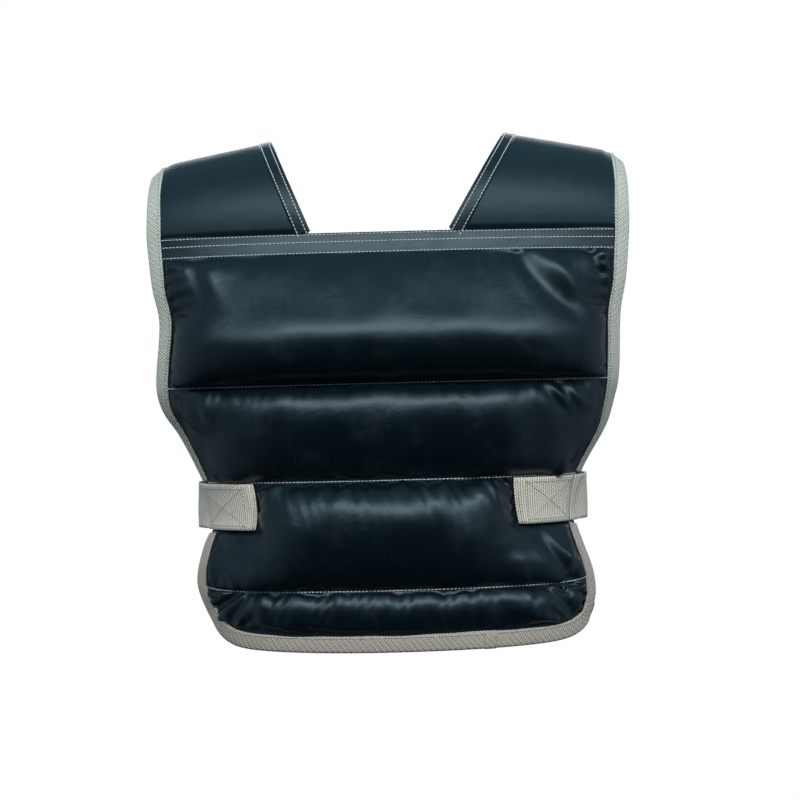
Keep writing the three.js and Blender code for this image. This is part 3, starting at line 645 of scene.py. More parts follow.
def unit(vectors):
    """The same directions with a length of one."""
    return vectors / np.maximum(np.linalg.norm(vectors, axis=-1, keepdims=True), 1e-9)


def folded_tape(stations, leg, wall, wander, swell=0.35, more_lines=()):
    """A tape folded over an edge, with the lines that it is stitched along.

    stations are the edge's outer and inner points and ways in, leg how far the tape reaches in
    on each side, and wander how unevenly it was sewn on.
    """
    edge_out, edge_in, inward = respaced(stations[0], 2.2, stations[1], stations[2])
    middle = eased((edge_out + edge_in) / 2, 3)
    outward = unit(eased(edge_out - edge_in, 3))
    half = np.linalg.norm(edge_out - edge_in, axis=1) / 2
    tangent = unit(np.gradient(middle, axis=0))
    inward = unit(eased(inward, 5))
    inward = unit(inward - tangent * np.einsum("ij,ij->i", inward, tangent)[:, None])
    count = len(middle)
    run = along(middle)
    drift = wander * (np.sin(run / 17 + 1.3) + 0.6 * np.sin(run / 7.3) + 1.4 * np.sin(run / 41))
    skin, gap = wall + swell, 0.12
    arc = np.linspace(0, np.pi, 9)[1:-1]
    outer = [(leg, 0.86, 0), (leg * 0.8, 1.04, 0), (leg * 0.4, 1.06, 0), (0.4, 1.0, 0)]
    outer += [(-np.sin(t) * 0.9, np.cos(t), 1) for t in arc]
    outer += [(0.4, -1.0, 0), (leg * 0.4, -1.06, 0), (leg * 0.8, -1.04, 0), (leg, -0.86, 0)]
    profile = []
    for reach, up, fold in outer:
        height = (half + skin) * up
        inset = (half + skin) * reach if fold else reach + drift * (reach / leg)
        profile.append(middle + inward * np.asarray(inset + 0 * half)[:, None]
                       + outward * height[:, None])
    for reach, up in ((leg, -1), (leg * 0.5, -1), (0, -1), (0, 1), (leg * 0.5, 1), (leg, 1)):
        profile.append(middle + inward * (reach + drift * (reach / leg))[:, None]
                       + outward * ((half + gap) * up)[:, None])
    ring = np.stack(profile, 1)
    sides = ring.shape[1]
    index = np.arange(count * sides).reshape(count, sides)
    after = np.roll(index, -1, axis=1)
    quads = np.stack([index[:-1].ravel(), index[1:].ravel(), after[1:].ravel(),
                      after[:-1].ravel()], -1)
    faces = quads.tolist()
    faces += [index[0].tolist(), index[-1][::-1].tolist()]
    across = np.linalg.norm(np.diff(ring, axis=1, append=ring[:, :1]), axis=2)
    across = np.concatenate([np.zeros((count, 1)), np.cumsum(across, 1)[:, :-1]], 1)
    cuts = np.stack([run[:, None] + 0 * across, across], -1)
    lines = []
    for reach in (leg - 1.8, *more_lines):
        seam = middle + inward * reach
        rise = outward * (half + skin * 1.03)[:, None]
        lines += [(seam + rise, outward, {}), (seam - rise, -outward, {})]
    return (ring.reshape(-1, 3), faces, cuts), lines


def thread_run(path, normal, pitch=3.3, length=2.6, thick=0.46, lift=0.28):
    """Stitches along a path: each is a short bowed thread that dips into the cloth at its ends."""
    centre, up = respaced(path, pitch, normal)
    way = unit(np.gradient(centre, axis=0))
    up = unit(up - way * np.einsum("ij,ij->i", up, way)[:, None])
    side = np.cross(up, way)
    rings = [(-0.5, 0.25, -0.35), (-0.36, 0.85, 0.0), (0.0, 1.0, 0.12), (0.36, 0.85, 0.0),
             (0.5, 0.25, -0.35)]
    sides = 6
    turns = np.arange(sides) * 2 * np.pi / sides
    points = []
    for at, size, rise in rings:
        for turn in turns:
            points.append(centre + way * (at * length)
                          + up * (lift + rise + thick * size * math.sin(turn))
                          + side * (thick * size * math.cos(turn)))
    points = np.stack(points, 1)
    faces = []
    for base in range(0, (len(rings) - 1) * sides, sides):
        for k in range(sides):
            n = (k + 1) % sides
            faces.append((base + k, base + n, base + sides + n, base + sides + k))
    last = (len(rings) - 1) * sides
    faces += [tuple(range(sides))[::-1], tuple(range(last, last + sides))]
    return points, faces


def sewing(name, runs, material, slot):
    """All the stitches of one seam or of several, as one piece."""
    points, faces, base = [], [], 0
    for path, normal, options in runs:
        stitch, shape = thread_run(path, normal, **options)
        for one in stitch:
            points.append(one)
            faces += [tuple(base + k for k in face) for face in shape]
            base += len(one)
    return new_piece(name, np.concatenate(points), faces, None, material, slot)


# Finishes

def add_node(tree, kind, **values):
    """A node, with its own settings by name and its inputs by their labels."""
    node = tree.nodes.new(kind)
    for name, value in values.items():
        label = name.replace("_", " ")
        if label in node.inputs:
            node.inputs[label].default_value = value
        else:
            setattr(node, name, value)
    return node


def new_effect(name, inputs, outputs):
    """A node group with float, colour or vector sockets, and its first and last node."""
    group = bpy.data.node_groups.new(name, "ShaderNodeTree")
    kinds = {"value": "NodeSocketFloat", "color": "NodeSocketColor", "vector": "NodeSocketVector"}
    for label, kind, value in inputs:
        socket = group.interface.new_socket(label, in_out="INPUT", socket_type=kinds[kind])
        if value is not None:
            socket.default_value = value
    for label, kind in outputs:
        group.interface.new_socket(label, in_out="OUTPUT", socket_type=kinds[kind])
    return group, group.nodes.new("NodeGroupInput"), group.nodes.new("NodeGroupOutput")


def place_effect(tree, group, **values):
    node = tree.nodes.new("ShaderNodeGroup")
    node.node_tree = group
    for label, value in values.items():
        node.inputs[label.replace("_", " ")].default_value = value
    return node


def math_node(tree, operation, first, second=None, third=None):
    node = tree.nodes.new("ShaderNodeMath")
    node.operation = operation
    for socket, value in zip(node.inputs, (first, second, third)):
        if value is None:
            continue
        if isinstance(value, (int, float)):
            socket.default_value = value
        else:
            tree.links.new(value, socket)
    return node.outputs[0]


def blend_color(tree, share, first, second):
    """A colour between two, each a colour or a socket."""
    node = tree.nodes.new("ShaderNodeMix")
    node.data_type = "RGBA"
    tree.links.new(share, node.inputs[0])
    for socket, value in ((node.inputs[6], first), (node.inputs[7], second)):
        if isinstance(value, tuple):
            socket.default_value = (*value, 1)
        else:
            tree.links.new(value, socket)
    return node.outputs[2]


def weave_effect():
    """Crossing threads: a height and a mask of the threads that lie on top."""
    tree, first, last = new_effect("weave", [
        ("Place", "vector", None), ("Threads Across", "value", 2500.0),
        ("Threads Along", "value", 2500.0), ("Slant", "value", 0.0),
    ], [("Height", "value"), ("Top", "value")])
    split = add_node(tree, "ShaderNodeSeparateXYZ")
    tree.links.new(first.outputs["Place"], split.inputs[0])
    x, y = split.outputs[0], split.outputs[1]
    slanted = math_node(tree, "MULTIPLY_ADD", y, first.outputs["Slant"], x)
    across = math_node(tree, "MULTIPLY", slanted, first.outputs["Threads Across"])
    down = math_node(tree, "MULTIPLY", y, first.outputs["Threads Along"])
    wave_a = math_node(tree, "SINE", math_node(tree, "MULTIPLY", across, math.pi))
    wave_b = math_node(tree, "SINE", math_node(tree, "MULTIPLY", down, math.pi))
    product = math_node(tree, "MULTIPLY", wave_a, wave_b)
    ridge = math_node(tree, "ABSOLUTE", wave_a)
    height = math_node(tree, "MULTIPLY_ADD", product, 0.5, math_node(tree, "MULTIPLY", ridge, 0.5))
    tree.links.new(height, last.inputs["Height"])
    tree.links.new(math_node(tree, "GREATER_THAN", product, 0.0), last.inputs["Top"])
    return tree


def rib_effect():
    """Ribs across a band, with the slanted threads that cross them."""
    tree, first, last = new_effect("ribs", [
        ("Place", "vector", None), ("Pitch", "value", 0.0018), ("Slant", "value", 0.0),
        ("Twist", "value", 0.3), ("Wander", "value", 0.3),
    ], [("Height", "value"), ("Groove", "value")])
    split = add_node(tree, "ShaderNodeSeparateXYZ")
    tree.links.new(first.outputs["Place"], split.inputs[0])
    drift = add_node(tree, "ShaderNodeTexNoise", Scale=220.0, Detail=2.0)
    tree.links.new(first.outputs["Place"], drift.inputs["Vector"])
    slanted = math_node(tree, "MULTIPLY_ADD", split.outputs[1], first.outputs["Slant"],
                        split.outputs[0])
    turns = math_node(tree, "DIVIDE", slanted, first.outputs["Pitch"])
    turns = math_node(tree, "MULTIPLY_ADD", drift.outputs["Fac"], first.outputs["Wander"], turns)
    wave = math_node(tree, "SINE", math_node(tree, "MULTIPLY", turns, 2 * math.pi))
    rib = math_node(tree, "MULTIPLY_ADD", wave, 0.5, 0.5)
    cross = math_node(tree, "DIVIDE", split.outputs[1], first.outputs["Pitch"])
    cross = math_node(tree, "MULTIPLY_ADD", math_node(tree, "FLOOR", turns), 0.5,
                      math_node(tree, "MULTIPLY", cross, 0.8))
    twist = math_node(tree, "SINE", math_node(tree, "MULTIPLY", cross, 2 * math.pi))
    height = math_node(tree, "MULTIPLY_ADD", twist, first.outputs["Twist"], rib)
    tree.links.new(height, last.inputs["Height"])
    # A mask of the grooves, which the finishes use for painted shade and rougher cloth there.
    groove = math_node(tree, "SUBTRACT", 1.0, rib)
    tree.links.new(math_node(tree, "POWER", groove, 3.0), last.inputs["Groove"])
    return tree


def handling_effect():
    """Soft wrinkles and light dust, as cloth gets from being handled."""
    tree, first, last = new_effect("handling", [
        ("Place", "vector", None), ("Crinkle Scale", "value", 60.0), ("Dust Scale", "value", 24.0),
    ], [("Crinkle", "value"), ("Dust", "value"), ("Streak", "value")])
    wide = add_node(tree, "ShaderNodeTexNoise", Scale=60.0, Detail=5.0, Roughness=0.55,
                    Distortion=0.6)
    tree.links.new(first.outputs["Place"], wide.inputs["Vector"])
    tree.links.new(first.outputs["Crinkle Scale"], wide.inputs["Scale"])
    fold = math_node(tree, "ABSOLUTE", math_node(tree, "SUBTRACT", wide.outputs["Fac"], 0.5))
    ridge = math_node(tree, "SUBTRACT", 1.0, math_node(tree, "MULTIPLY", fold, 5.0))
    ridge = math_node(tree, "MAXIMUM", ridge, 0.0)
    tree.links.new(math_node(tree, "MULTIPLY_ADD", ridge, 0.4, wide.outputs["Fac"]),
                   last.inputs["Crinkle"])
    dust = add_node(tree, "ShaderNodeTexNoise", Scale=24.0, Detail=8.0, Roughness=0.7)
    tree.links.new(first.outputs["Place"], dust.inputs["Vector"])
    tree.links.new(first.outputs["Dust Scale"], dust.inputs["Scale"])
    speck = add_node(tree, "ShaderNodeMapRange", From_Min=0.52, From_Max=0.75)
    tree.links.new(dust.outputs["Fac"], speck.inputs["Value"])
    tree.links.new(speck.outputs[0], last.inputs["Dust"])
    stretch = add_node(tree, "ShaderNodeMapping")
    stretch.inputs["Scale"].default_value = (260.0, 18.0, 40.0)
    tree.links.new(first.outputs["Place"], stretch.inputs["Vector"])
    streak = add_node(tree, "ShaderNodeTexNoise", Scale=1.0, Detail=3.0)
    tree.links.new(stretch.outputs[0], streak.inputs["Vector"])
    tree.links.new(streak.outputs["Fac"], last.inputs["Streak"])
    return tree


weave, ribs, handling = weave_effect(), rib_effect(), handling_effect()


def new_finish(name, color, roughness, specular=0.5):
    finish = bpy.data.materials.new(name)
    finish.use_nodes = True
    shader = finish.node_tree.nodes["Principled BSDF"]
    shader.inputs["Base Color"].default_value = (*color, 1)
    shader.inputs["Roughness"].default_value = roughness
    shader.inputs["Specular IOR Level"].default_value = specular
    return finish, finish.node_tree, shader


def cut_place(tree):
    """The place on the flat cut of the cloth, in metres."""
    return add_node(tree, "ShaderNodeUVMap", uv_map="cut").outputs[0]


def bumps(tree, shader, *layers):
    """Heights in metres, one over another, as the shader's normal."""
    normal = None
    for height, distance, strength in layers:
        bump = add_node(tree, "ShaderNodeBump", Distance=distance, Strength=strength)
        tree.links.new(height, bump.inputs["Height"])
        if normal is not None:
            tree.links.new(normal, bump.inputs["Normal"])
        normal = bump.outputs[0]
    tree.links.new(normal, shader.inputs["Normal"])


def satin_finish(name, dark, light, roughness, crinkle, sheen):
    """Fine satin nylon: dark cloth whose threads catch the light unevenly."""
    finish, tree, shader = new_finish(name, dark, roughness)
    shader.inputs["Sheen Weight"].default_value = sheen
    shader.inputs["Sheen Roughness"].default_value = 0.5
    shader.inputs["Sheen Tint"].default_value = (0.55, 0.85, 1.0, 1)
    shader.inputs["Specular Tint"].default_value = (0.64, 0.86, 1.0, 1)
    place = cut_place(tree)
    threads = place_effect(tree, weave, Threads_Across=2800.0, Threads_Along=2300.0)
    worn = place_effect(tree, handling, Crinkle_Scale=42.0, Dust_Scale=30.0)
    for effect in (threads, worn):
        tree.links.new(place, effect.inputs["Place"])
    color = blend_color(tree, worn.outputs["Streak"], dark, light)
    dusty = math_node(tree, "MULTIPLY", worn.outputs["Dust"], 0.10)
    color = blend_color(tree, dusty, color, (0.10, 0.12, 0.13))
    tree.links.new(color, shader.inputs["Base Color"])
    rough = math_node(tree, "MULTIPLY_ADD", worn.outputs["Dust"], 0.10, roughness - 0.03)
    rough = math_node(tree, "MULTIPLY_ADD", worn.outputs["Streak"], 0.07, rough)
    tree.links.new(rough, shader.inputs["Roughness"])
    bumps(tree, shader, (worn.outputs["Crinkle"], 0.0009, crinkle),
          (threads.outputs["Height"], 0.00006, 0.35))
    return finish


def band_finish(name, dark, light, pitch, slant, twist, depth):
    """Woven tape or webbing: ribs whose grooves are painted darker as shade, soiled a little."""
    finish, tree, shader = new_finish(name, light, 0.85, 0.25)
    shader.inputs["Sheen Weight"].default_value = 0.1
    place = cut_place(tree)
    band = place_effect(tree, ribs, Pitch=pitch, Slant=slant, Twist=twist)
    worn = place_effect(tree, handling, Crinkle_Scale=90.0, Dust_Scale=60.0)
    for effect in (band, worn):
        tree.links.new(place, effect.inputs["Place"])
    # Painted shade: the grooves between the ribs take the dark colour.
    color = blend_color(tree, band.outputs["Groove"], light, dark)
    soiled = math_node(tree, "MULTIPLY", worn.outputs["Dust"], 0.35)
    color = blend_color(tree, soiled, color, tuple(0.6 * value for value in light))
    tree.links.new(color, shader.inputs["Base Color"])
    rough = math_node(tree, "MULTIPLY_ADD", band.outputs["Groove"], 0.1, 0.82)
    tree.links.new(rough, shader.inputs["Roughness"])
    bumps(tree, shader, (worn.outputs["Crinkle"], 0.0006, 0.5),
          (band.outputs["Height"], depth, 0.8))
    return finish


satin = satin_finish("satin_nylon", (0.0012, 0.0050, 0.0080), (0.0020, 0.0076, 0.0116),
                     roughness=0.34, crinkle=0.24, sheen=0.02)
# The shoulders are the same satin as the back, with a lighter, more teal base colour: painted light,
# as the shoulders face up into the light.
shoulder_satin = satin_finish("shoulder_satin", (0.0012, 0.0085, 0.0125), (0.0022, 0.0125, 0.0175),
                              roughness=0.47, crinkle=0.22, sheen=0.03)
folded_satin = satin_finish("folded_nylon", (0.0016, 0.006, 0.009), (0.003, 0.009, 0.013),
                            roughness=0.40, crinkle=0.12, sheen=0.02)
# The first colour of each band is painted shade for the grooves between its ribs; the second is the
# band's own colour.
twill = band_finish("twill_tape", (0.30, 0.32, 0.28), (0.78, 0.80, 0.71),
                    pitch=0.0026, slant=0.8, twist=0.4, depth=0.0005)
hem_twill = band_finish("hem_twill", (0.25, 0.22, 0.19), (0.62, 0.54, 0.46),
                        pitch=0.0026, slant=0.8, twist=0.4, depth=0.0005)
ribbed = band_finish("ribbed_webbing", (0.36, 0.32, 0.26), (0.98, 0.91, 0.78),
                     pitch=0.0022, slant=0.0, twist=0.35, depth=0.0006)


def thread_finish():
    """Pale sewing thread with its strands."""
    finish, tree, shader = new_finish("pale_thread", (0.75, 0.82, 0.83), 0.6)
    strand = add_node(tree, "ShaderNodeTexWave", Scale=900.0, Distortion=1.5)
    shade = blend_color(tree, strand.outputs["Fac"], (0.62, 0.68, 0.69), (0.86, 0.92, 0.92))
    tree.links.new(shade, shader.inputs["Base Color"])
    bumps(tree, shader, (strand.outputs["Fac"], 0.0001, 0.5))
    return finish


def moulded_finish():
    """Black moulded plastic with a fine grain and a few smears."""
    finish, tree, shader = new_finish("moulded_plastic", (0.02, 0.022, 0.025), 0.42)
    grain = add_node(tree, "ShaderNodeTexNoise", Scale=1400.0, Detail=3.0)
    smear = add_node(tree, "ShaderNodeTexNoise", Scale=35.0, Detail=5.0).outputs["Fac"]
    tree.links.new(math_node(tree, "MULTIPLY_ADD", smear, 0.2, 0.32), shader.inputs["Roughness"])
    color = blend_color(tree, smear, (0.014, 0.015, 0.017), (0.03, 0.033, 0.036))
    tree.links.new(color, shader.inputs["Base Color"])
    bumps(tree, shader, (grain.outputs["Fac"], 0.0001, 0.35))
    return finish


thread = thread_finish()
tape_thread = new_finish("tape_thread", (0.46, 0.46, 0.41), 0.7)[0]
belt_thread = new_finish("belt_thread", (0.56, 0.52, 0.45), 0.7)[0]
moulded = moulded_finish()


# Filled panels

def every(count, step):
    """Each so many of a number of rows or columns, and always the last."""
    return sorted({*range(0, count, step), count - 1})


def filled_panel(which, name, node, cell, steps, strengths, end_folds):
    """A panel settled round its sand, its stitched seams, and its edges for the tapes."""
    cloth = panel_cloth(which, cell)
    points = settle(which, cloth, steps)
    inner = lining(which, cloth)
    normal = grid_normals(points)
    outside = np.sign(np.einsum("...i,...i", normal, cloth.outward).mean())
    fine = finer(points)
    fine = gathered(cloth, fine, grid_normals(fine) * outside, strengths, end_folds)
    coarse = inner[every(len(inner), LINING_STEP)][:, every(inner.shape[1], LINING_STEP)]
    flat = finer(cloth.flat)[..., [0, 2]].reshape(-1, 2)
    cuts = np.concatenate([flat, coarse[..., [0, 2]].reshape(-1, 2)])
    piece = new_piece(name, *sheet_body(fine, coarse), cuts, satin, "shell", node)
    return SimpleNamespace(cloth=cloth, outer=points, inner=inner, normal=normal * outside)


back = filled_panel(BACK, "back_panel_cloth", "back_panel", 3.1, 60, BACK_GATHERS, END_FOLDS)
front = filled_panel(FRONT, "front_panel_cloth", "front_panel", 4.2, 40, FRONT_GATHERS, [])


# Shoulder panels

def shoulder_panel(side_name, side):
    """A thin panel over one shoulder, and its faces for the tape and the facing."""
    middle = shoulder_sheet(side)
    rows, columns = middle.shape[:2]
    up = grid_normals(middle)
    up *= np.sign(up[rows // 2, columns // 2, 2])
    for end in (0, -1):
        up[end, :, 2] = 0
    up = unit(up)
    outer, inner = middle + up * SHOULDER_WALL / 2, middle - up * SHOULDER_WALL / 2
    cuts = cut_of_faces(np.linspace(0, SHOULDER_CUT[0], columns)[None, :],
                        np.linspace(0, SHOULDER_CUT[1], rows)[:, None])
    piece = new_piece(f"shoulder_cloth_{side_name}", *sheet_body(outer, inner), cuts,
                      shoulder_satin, "shell", f"shoulder_{side_name}")
    return SimpleNamespace(outer=outer, inner=inner, sign=side.sign)


shoulders = {name: shoulder_panel(name, side) for name, side in SHOULDERS.items()}


# Edge tapes

def level_rows(filled, column, low, high):
    """The rows of a panel whose edge lies between two heights."""
    z = filled.outer[:, column, 2]
    return np.flatnonzero((z <= high) & (z >= low))


def side_stations(filled, sign, low, high):
    column = 0 if sign < 0 else filled.outer.shape[1] - 1
    inset = column - 4 * sign
    rows = level_rows(filled, column, low, high)
    return [filled.outer[rows, column], filled.inner[rows, column],
            unit(filled.outer[rows, inset] - filled.outer[rows, column])]


def joined(*runs):
    return [np.concatenate([run[k] for run in runs]) for k in range(3)]


def turned(run):
    return [values[::-1] for values in run]


def shoulder_stations(shoulder, column, inset):
    return [shoulder.outer[:, column], shoulder.inner[:, column],
            unit(shoulder.outer[:, inset] - shoulder.outer[:, column])]


tape_seams, facing_seams = [], []
for side_name, shoulder in shoulders.items():
    stations = joined(
        turned(side_stations(back, shoulder.sign, BELT_TOP + TAPE_GAP, BACK.top)),
        shoulder_stations(shoulder, -1, -5),
        side_stations(front, shoulder.sign, BELT_TOP + TAPE_GAP, FRONT.top),
    )
    tape, lines = folded_tape(stations, TAPE_LEG, TAPE_WALL, TAPE_WANDER)
    new_piece(f"armhole_tape_{side_name}", *tape, twill, "binding_tape",
              f"armhole_binding_{side_name}")
    tape_seams += lines
    facing, lines = folded_tape(shoulder_stations(shoulder, 0, 4), FACING_LEG, FACING_WALL,
                                FACING_WANDER, swell=0.12, more_lines=(1.6,))
    new_piece(f"neck_facing_cloth_{side_name}", *facing, folded_satin, "facing",
              f"neck_facing_{side_name}")
    facing_seams += lines
for name, filled in (("back", back), ("front", front)):
    last = filled.outer.shape[0] - 1
    hem = [filled.outer[last], filled.inner[last],
           unit(filled.outer[last - 3] - filled.outer[last])]
    low, high = filled.outer[last, 0, 2] + 6, BELT_TOP - BELT_WIDTH - TAPE_GAP
    stations = joined(side_stations(filled, -1, low, high), [values[4:-4] for values in hem],
                      turned(side_stations(filled, 1, low, high)))
    tape, lines = folded_tape(stations, TAPE_LEG, TAPE_WALL, TAPE_WANDER)
    new_piece(f"hem_tape_{name}", *tape, hem_twill, "binding_tape", f"hem_binding_{name}")
    tape_seams += lines
    if name == "back":
        lap = np.abs(stations[0][:, 0] - JOIN_PLACE) < JOIN_REACH
        join = folded_tape([values[lap] for values in stations], TAPE_LEG + 0.6, 1.5, 0.1)[0]
        new_piece("hem_tape_join", *join, hem_twill, "binding_tape")


# Belts

def curve_through(points, pitch):
    """A smooth way through points in plan, at an even pitch."""
    ends = np.concatenate([2 * points[:1] - points[1:2], points, 2 * points[-1:] - points[-2:-1]])
    t = np.linspace(0, 1, 12, endpoint=False)[:, None]
    parts = []
    for p0, p1, p2, p3 in zip(ends[:-3], ends[1:-2], ends[2:-1], ends[3:]):
        parts.append(0.5 * (2 * p1 + (p2 - p0) * t + (2 * p0 - 5 * p1 + 4 * p2 - p3) * t ** 2
                            + (3 * p1 - p0 - 3 * p2 + p3) * t ** 3))
    way = np.concatenate(parts + [points[-1:]])
    way = np.concatenate([way, np.zeros((len(way), 1))], 1)
    return respaced(way, pitch)[0][:, :2]


def belt_grids(sign):
    """The inner and outer faces of a belt, from its tab to the clasp, and the way out of it."""
    heights = np.linspace(BELT_TOP, BELT_TOP - BELT_WIDTH, 15)
    length = seam_surface(BACK, sign * 1.0, heights)[3]
    tab = np.linspace(0, 1, 26)[None, :]
    reach = tab_reach(sign, BELT_TOP - heights)
    share = 1 - (reach / length)[:, None] * (1 - tab)
    plane, outward = seam_surface(BACK, sign * share, heights[:, None] + 0 * tab)[:2]
    on_back = plane + outward * (SEAM_WALL / 2 + TAPE_GAP)
    ends = on_back[:, -1]
    way = np.array([(x * sign, y) for x, y in BELT_WAY[sign]])
    plan = curve_through(np.concatenate([ends[:, :2].mean(0)[None], way]), 2.4)[1:]
    fade = 1 - ease(0, 14, np.arange(len(plan)))[None, :, None]
    around = np.empty((len(heights), len(plan), 3))
    around[..., :2] = plan[None] + (ends[:, None, :2] - ends[None, :1, :2].mean(0)) * fade
    around[..., 2] = heights[:, None]
    inner = np.concatenate([on_back, around], 1)
    way_on = np.gradient(inner, axis=1)
    out = unit(np.stack([way_on[..., 1], -way_on[..., 0], 0 * way_on[..., 0]], -1) * sign)
    rise = np.linspace(0, 1, len(inner))[:, None]
    run = along(inner[len(inner) // 2])[None, :]
    past = run - reach.mean()
    slack = 0.35 * np.sin(run / 9.0 + 3 * rise) + 0.25 * np.sin(run / 21.0 - 5 * rise)
    inner = inner + out * (slack * ease(0, 12, past))[..., None]
    for centre, tall, breadth in BELT_RIDGES[sign]:
        bend = centre + 1.6 * np.sin(4 * rise + centre)
        inner = inner + out * (tall * np.exp(-((past - bend) / breadth) ** 2))[..., None]
    return inner, inner + out * BELT_WALL, out


def belt_cut(band):
    """The flat cut of a piece of webbing, from the grid of one of its faces."""
    return cut_of_faces(along(band[len(band) // 2])[None, :],
                        np.linspace(0, BELT_WIDTH, len(band))[:, None])


def point_on(grid, normals, across, down):
    """A point of a grid at shares of its breadth and height, and the way out of it there."""
    rows, columns = grid.shape[:2]
    r, c = down * (rows - 1), across * (columns - 1)
    i, j = min(int(r), rows - 2), min(int(c), columns - 2)
    low = grid[i, j] * (1 - c + j) + grid[i, j + 1] * (c - j)
    high = grid[i + 1, j] * (1 - c + j) + grid[i + 1, j + 1] * (c - j)
    return low * (1 - r + i) + high * (r - i), normals[i, j]


def boxed_cross(grid, normals):
    """The lines of a box with a cross in it, on a tab."""
    sides = [(TAB_BOX[k], TAB_BOX[(k + 1) % 4]) for k in range(4)]
    lines = []
    for start, end in sides + [(TAB_BOX[0], TAB_BOX[2]), (TAB_BOX[1], TAB_BOX[3])]:
        steps = [point_on(grid, normals, start[0] + (end[0] - start[0]) * t,
                          start[1] + (end[1] - start[1]) * t) for t in np.linspace(0, 1, 24)]
        lines.append((np.array([p for p, _ in steps]), np.array([n for _, n in steps]), {}))
    return lines


tab_seams = []
for sign, side_name in ((-1, "left"), (1, "right")):
    inner, outer, out = belt_grids(sign)
    new_piece(f"belt_webbing_{side_name}", *sheet_body(outer, inner), belt_cut(inner), ribbed,
              "webbing", f"belt_{side_name}")
    on_tab = slice(1, TAB_COLUMNS[sign] + 1)
    under, tab_out = outer[:, on_tab], out[:, on_tab]
    fold = np.zeros_like(under[..., :1])
    fold[:, 0] = 0.5
    tab_top = under + tab_out * (2.2 - fold)
    new_piece(f"belt_tab_{side_name}", *sheet_body(tab_top, under + tab_out * 0.45),
              belt_cut(under), ribbed, "webbing")
    tab_seams += boxed_cross(tab_top, tab_out)


# Stitched seams

def line_at(filled, level):
    """A line across a panel at a distance below its top edge."""
    downs = filled.cloth.down[:, 0]
    row = int(np.searchsorted(downs, level)) - 1
    share = (level - downs[row]) / (downs[row + 1] - downs[row])
    read = lambda grid: grid[row] * (1 - share) + grid[row + 1] * share
    keep = slice(5, -5)
    return read(filled.outer)[keep], read(filled.normal)[keep]


def channel_seams(filled, keep):
    """The stitched rows between a panel's channels, without the ends that its tapes cover."""
    return [(filled.outer[row, keep], filled.cloth.outward[row, keep], {"lift": 0.4})
            for row in filled.cloth.seam_rows[1:4]]


seam_runs = [(*line_at(back, level), {}) for level in YOKE_ROWS]
seam_runs += channel_seams(back, slice(5, -5)) + channel_seams(front, slice(4, -4))
sewing("panel_stitching", seam_runs, thread, "shell")
sewing("facing_stitching", facing_seams, thread, "facing")
sewing("tape_stitching", tape_seams, tape_thread, "binding_tape")
sewing("tab_stitching", tab_seams, belt_thread, "webbing")

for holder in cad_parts["front_buckle"].material_slots:
    holder.material = moulded


# Camera, floor and light

def add_camera():
    """The photo's view, turned a little about its axis."""
    turn = math.radians(CAMERA_TURN)
    data = bpy.data.cameras.new("camera")
    data.lens = 94.1
    data.sensor_width = 36
    camera = bpy.data.objects.new("camera", data)
    bpy.context.scene.collection.objects.link(camera)
    camera.matrix_world = Matrix((
        (math.cos(turn), math.sin(turn), 0, 0.0104),
        (0, 0, -1, -1.9),
        (-math.sin(turn), math.cos(turn), 0, -0.2242),
        (0, 0, 0, 1),
    ))
    bpy.context.scene.camera = camera


def add_floor(half, level):
    """A pale floor well below the vest, which casts no light of its own onto it."""
    mesh = bpy.data.meshes.new("floor")
    corners = [(-half, -half, level), (half, -half, level), (half, half, level),
               (-half, half, level)]
    mesh.from_pydata(corners, [], [(0, 1, 2, 3)])
    floor = bpy.data.objects.new("floor", mesh)
    mesh.materials.append(new_finish("pale_floor", (0.8, 0.8, 0.8), 0.9)[0])
    bpy.context.scene.collection.objects.link(floor)
    floor.visible_glossy = False
    floor.visible_diffuse = False


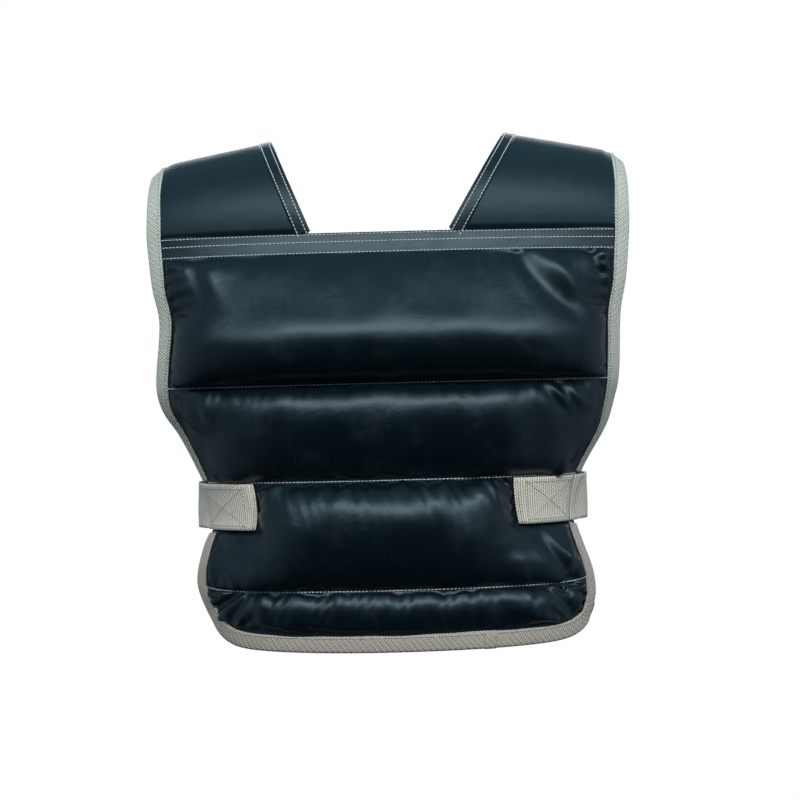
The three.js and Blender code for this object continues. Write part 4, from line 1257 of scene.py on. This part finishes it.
def add_studio():
    """White to the camera, and to the cloth dark below, blue above and pale at the sides."""
    world = bpy.data.worlds.new("studio")
    bpy.context.scene.world = world
    world.use_nodes = True
    tree = world.node_tree
    tree.nodes.clear()
    seen = add_node(tree, "ShaderNodeBackground", Color=(1, 1, 1, 1), Strength=1.0)
    felt = add_node(tree, "ShaderNodeBackground", Strength=1.0)
    place = add_node(tree, "ShaderNodeTexCoord")
    split = add_node(tree, "ShaderNodeSeparateXYZ")
    tree.links.new(place.outputs["Generated"], split.inputs[0])
    height = add_node(tree, "ShaderNodeValToRGB")
    ramp = height.color_ramp.elements
    ramp[0].position, ramp[1].position = SKY_LEVELS[0], SKY_LEVELS[2]
    ramp[0].color, ramp[1].color = (*GROUND_COLOR, 1), (*SKY_COLOR, 1)
    ramp.new(SKY_LEVELS[1]).color = (*HORIZON_COLOR, 1)
    tree.links.new(math_node(tree, "MULTIPLY_ADD", split.outputs["Z"], 0.5, 0.5), height.inputs[0])
    walls = add_node(tree, "ShaderNodeMapRange", From_Min=0.45, From_Max=1.0)
    tree.links.new(math_node(tree, "ABSOLUTE", split.outputs["X"]), walls.inputs["Value"])
    tree.links.new(blend_color(tree, walls.outputs[0], height.outputs[0], WALL_COLOR),
                   felt.inputs["Color"])
    path = add_node(tree, "ShaderNodeLightPath")
    mixed = add_node(tree, "ShaderNodeMixShader")
    output = add_node(tree, "ShaderNodeOutputWorld")
    for source, socket in ((path.outputs["Is Camera Ray"], mixed.inputs[0]),
                           (felt.outputs[0], mixed.inputs[1]), (seen.outputs[0], mixed.inputs[2]),
                           (mixed.outputs[0], output.inputs[0])):
        tree.links.new(source, socket)


def soft_light(name, place, target, size, power):
    """A broad lamp at a place in metres, turned to a target."""
    data = bpy.data.lights.new(name, "AREA")
    data.shape = "RECTANGLE"
    data.size, data.size_y = size
    data.energy = power
    data.color = LAMP_COLOR
    lamp = bpy.data.objects.new(name, data)
    bpy.context.scene.collection.objects.link(lamp)
    lamp.location = place
    lamp.rotation_euler = (Vector(target) - Vector(place)).to_track_quat("-Z", "Y").to_euler()


add_camera()
bpy.context.scene.view_settings.view_transform = "Standard"
add_floor(half=3.2, level=-1.4)
add_studio()
soft_light("light_right", (2.3, -1.9, 1.0), (0.1, 0, -0.2), (0.7, 1.0), 9)
soft_light("light_left", (-2.3, -1.9, 1.0), (-0.1, 0, -0.2), (0.7, 1.0), 3)
soft_light("light_front", (0.3, 3.1, 0.9), (0, 0, -0.25), (3.5, 1.2), 60)
soft_light("light_above", (0.1, -2.85, 1.85), (0, 0, -0.2), (4.4, 0.8), 102)
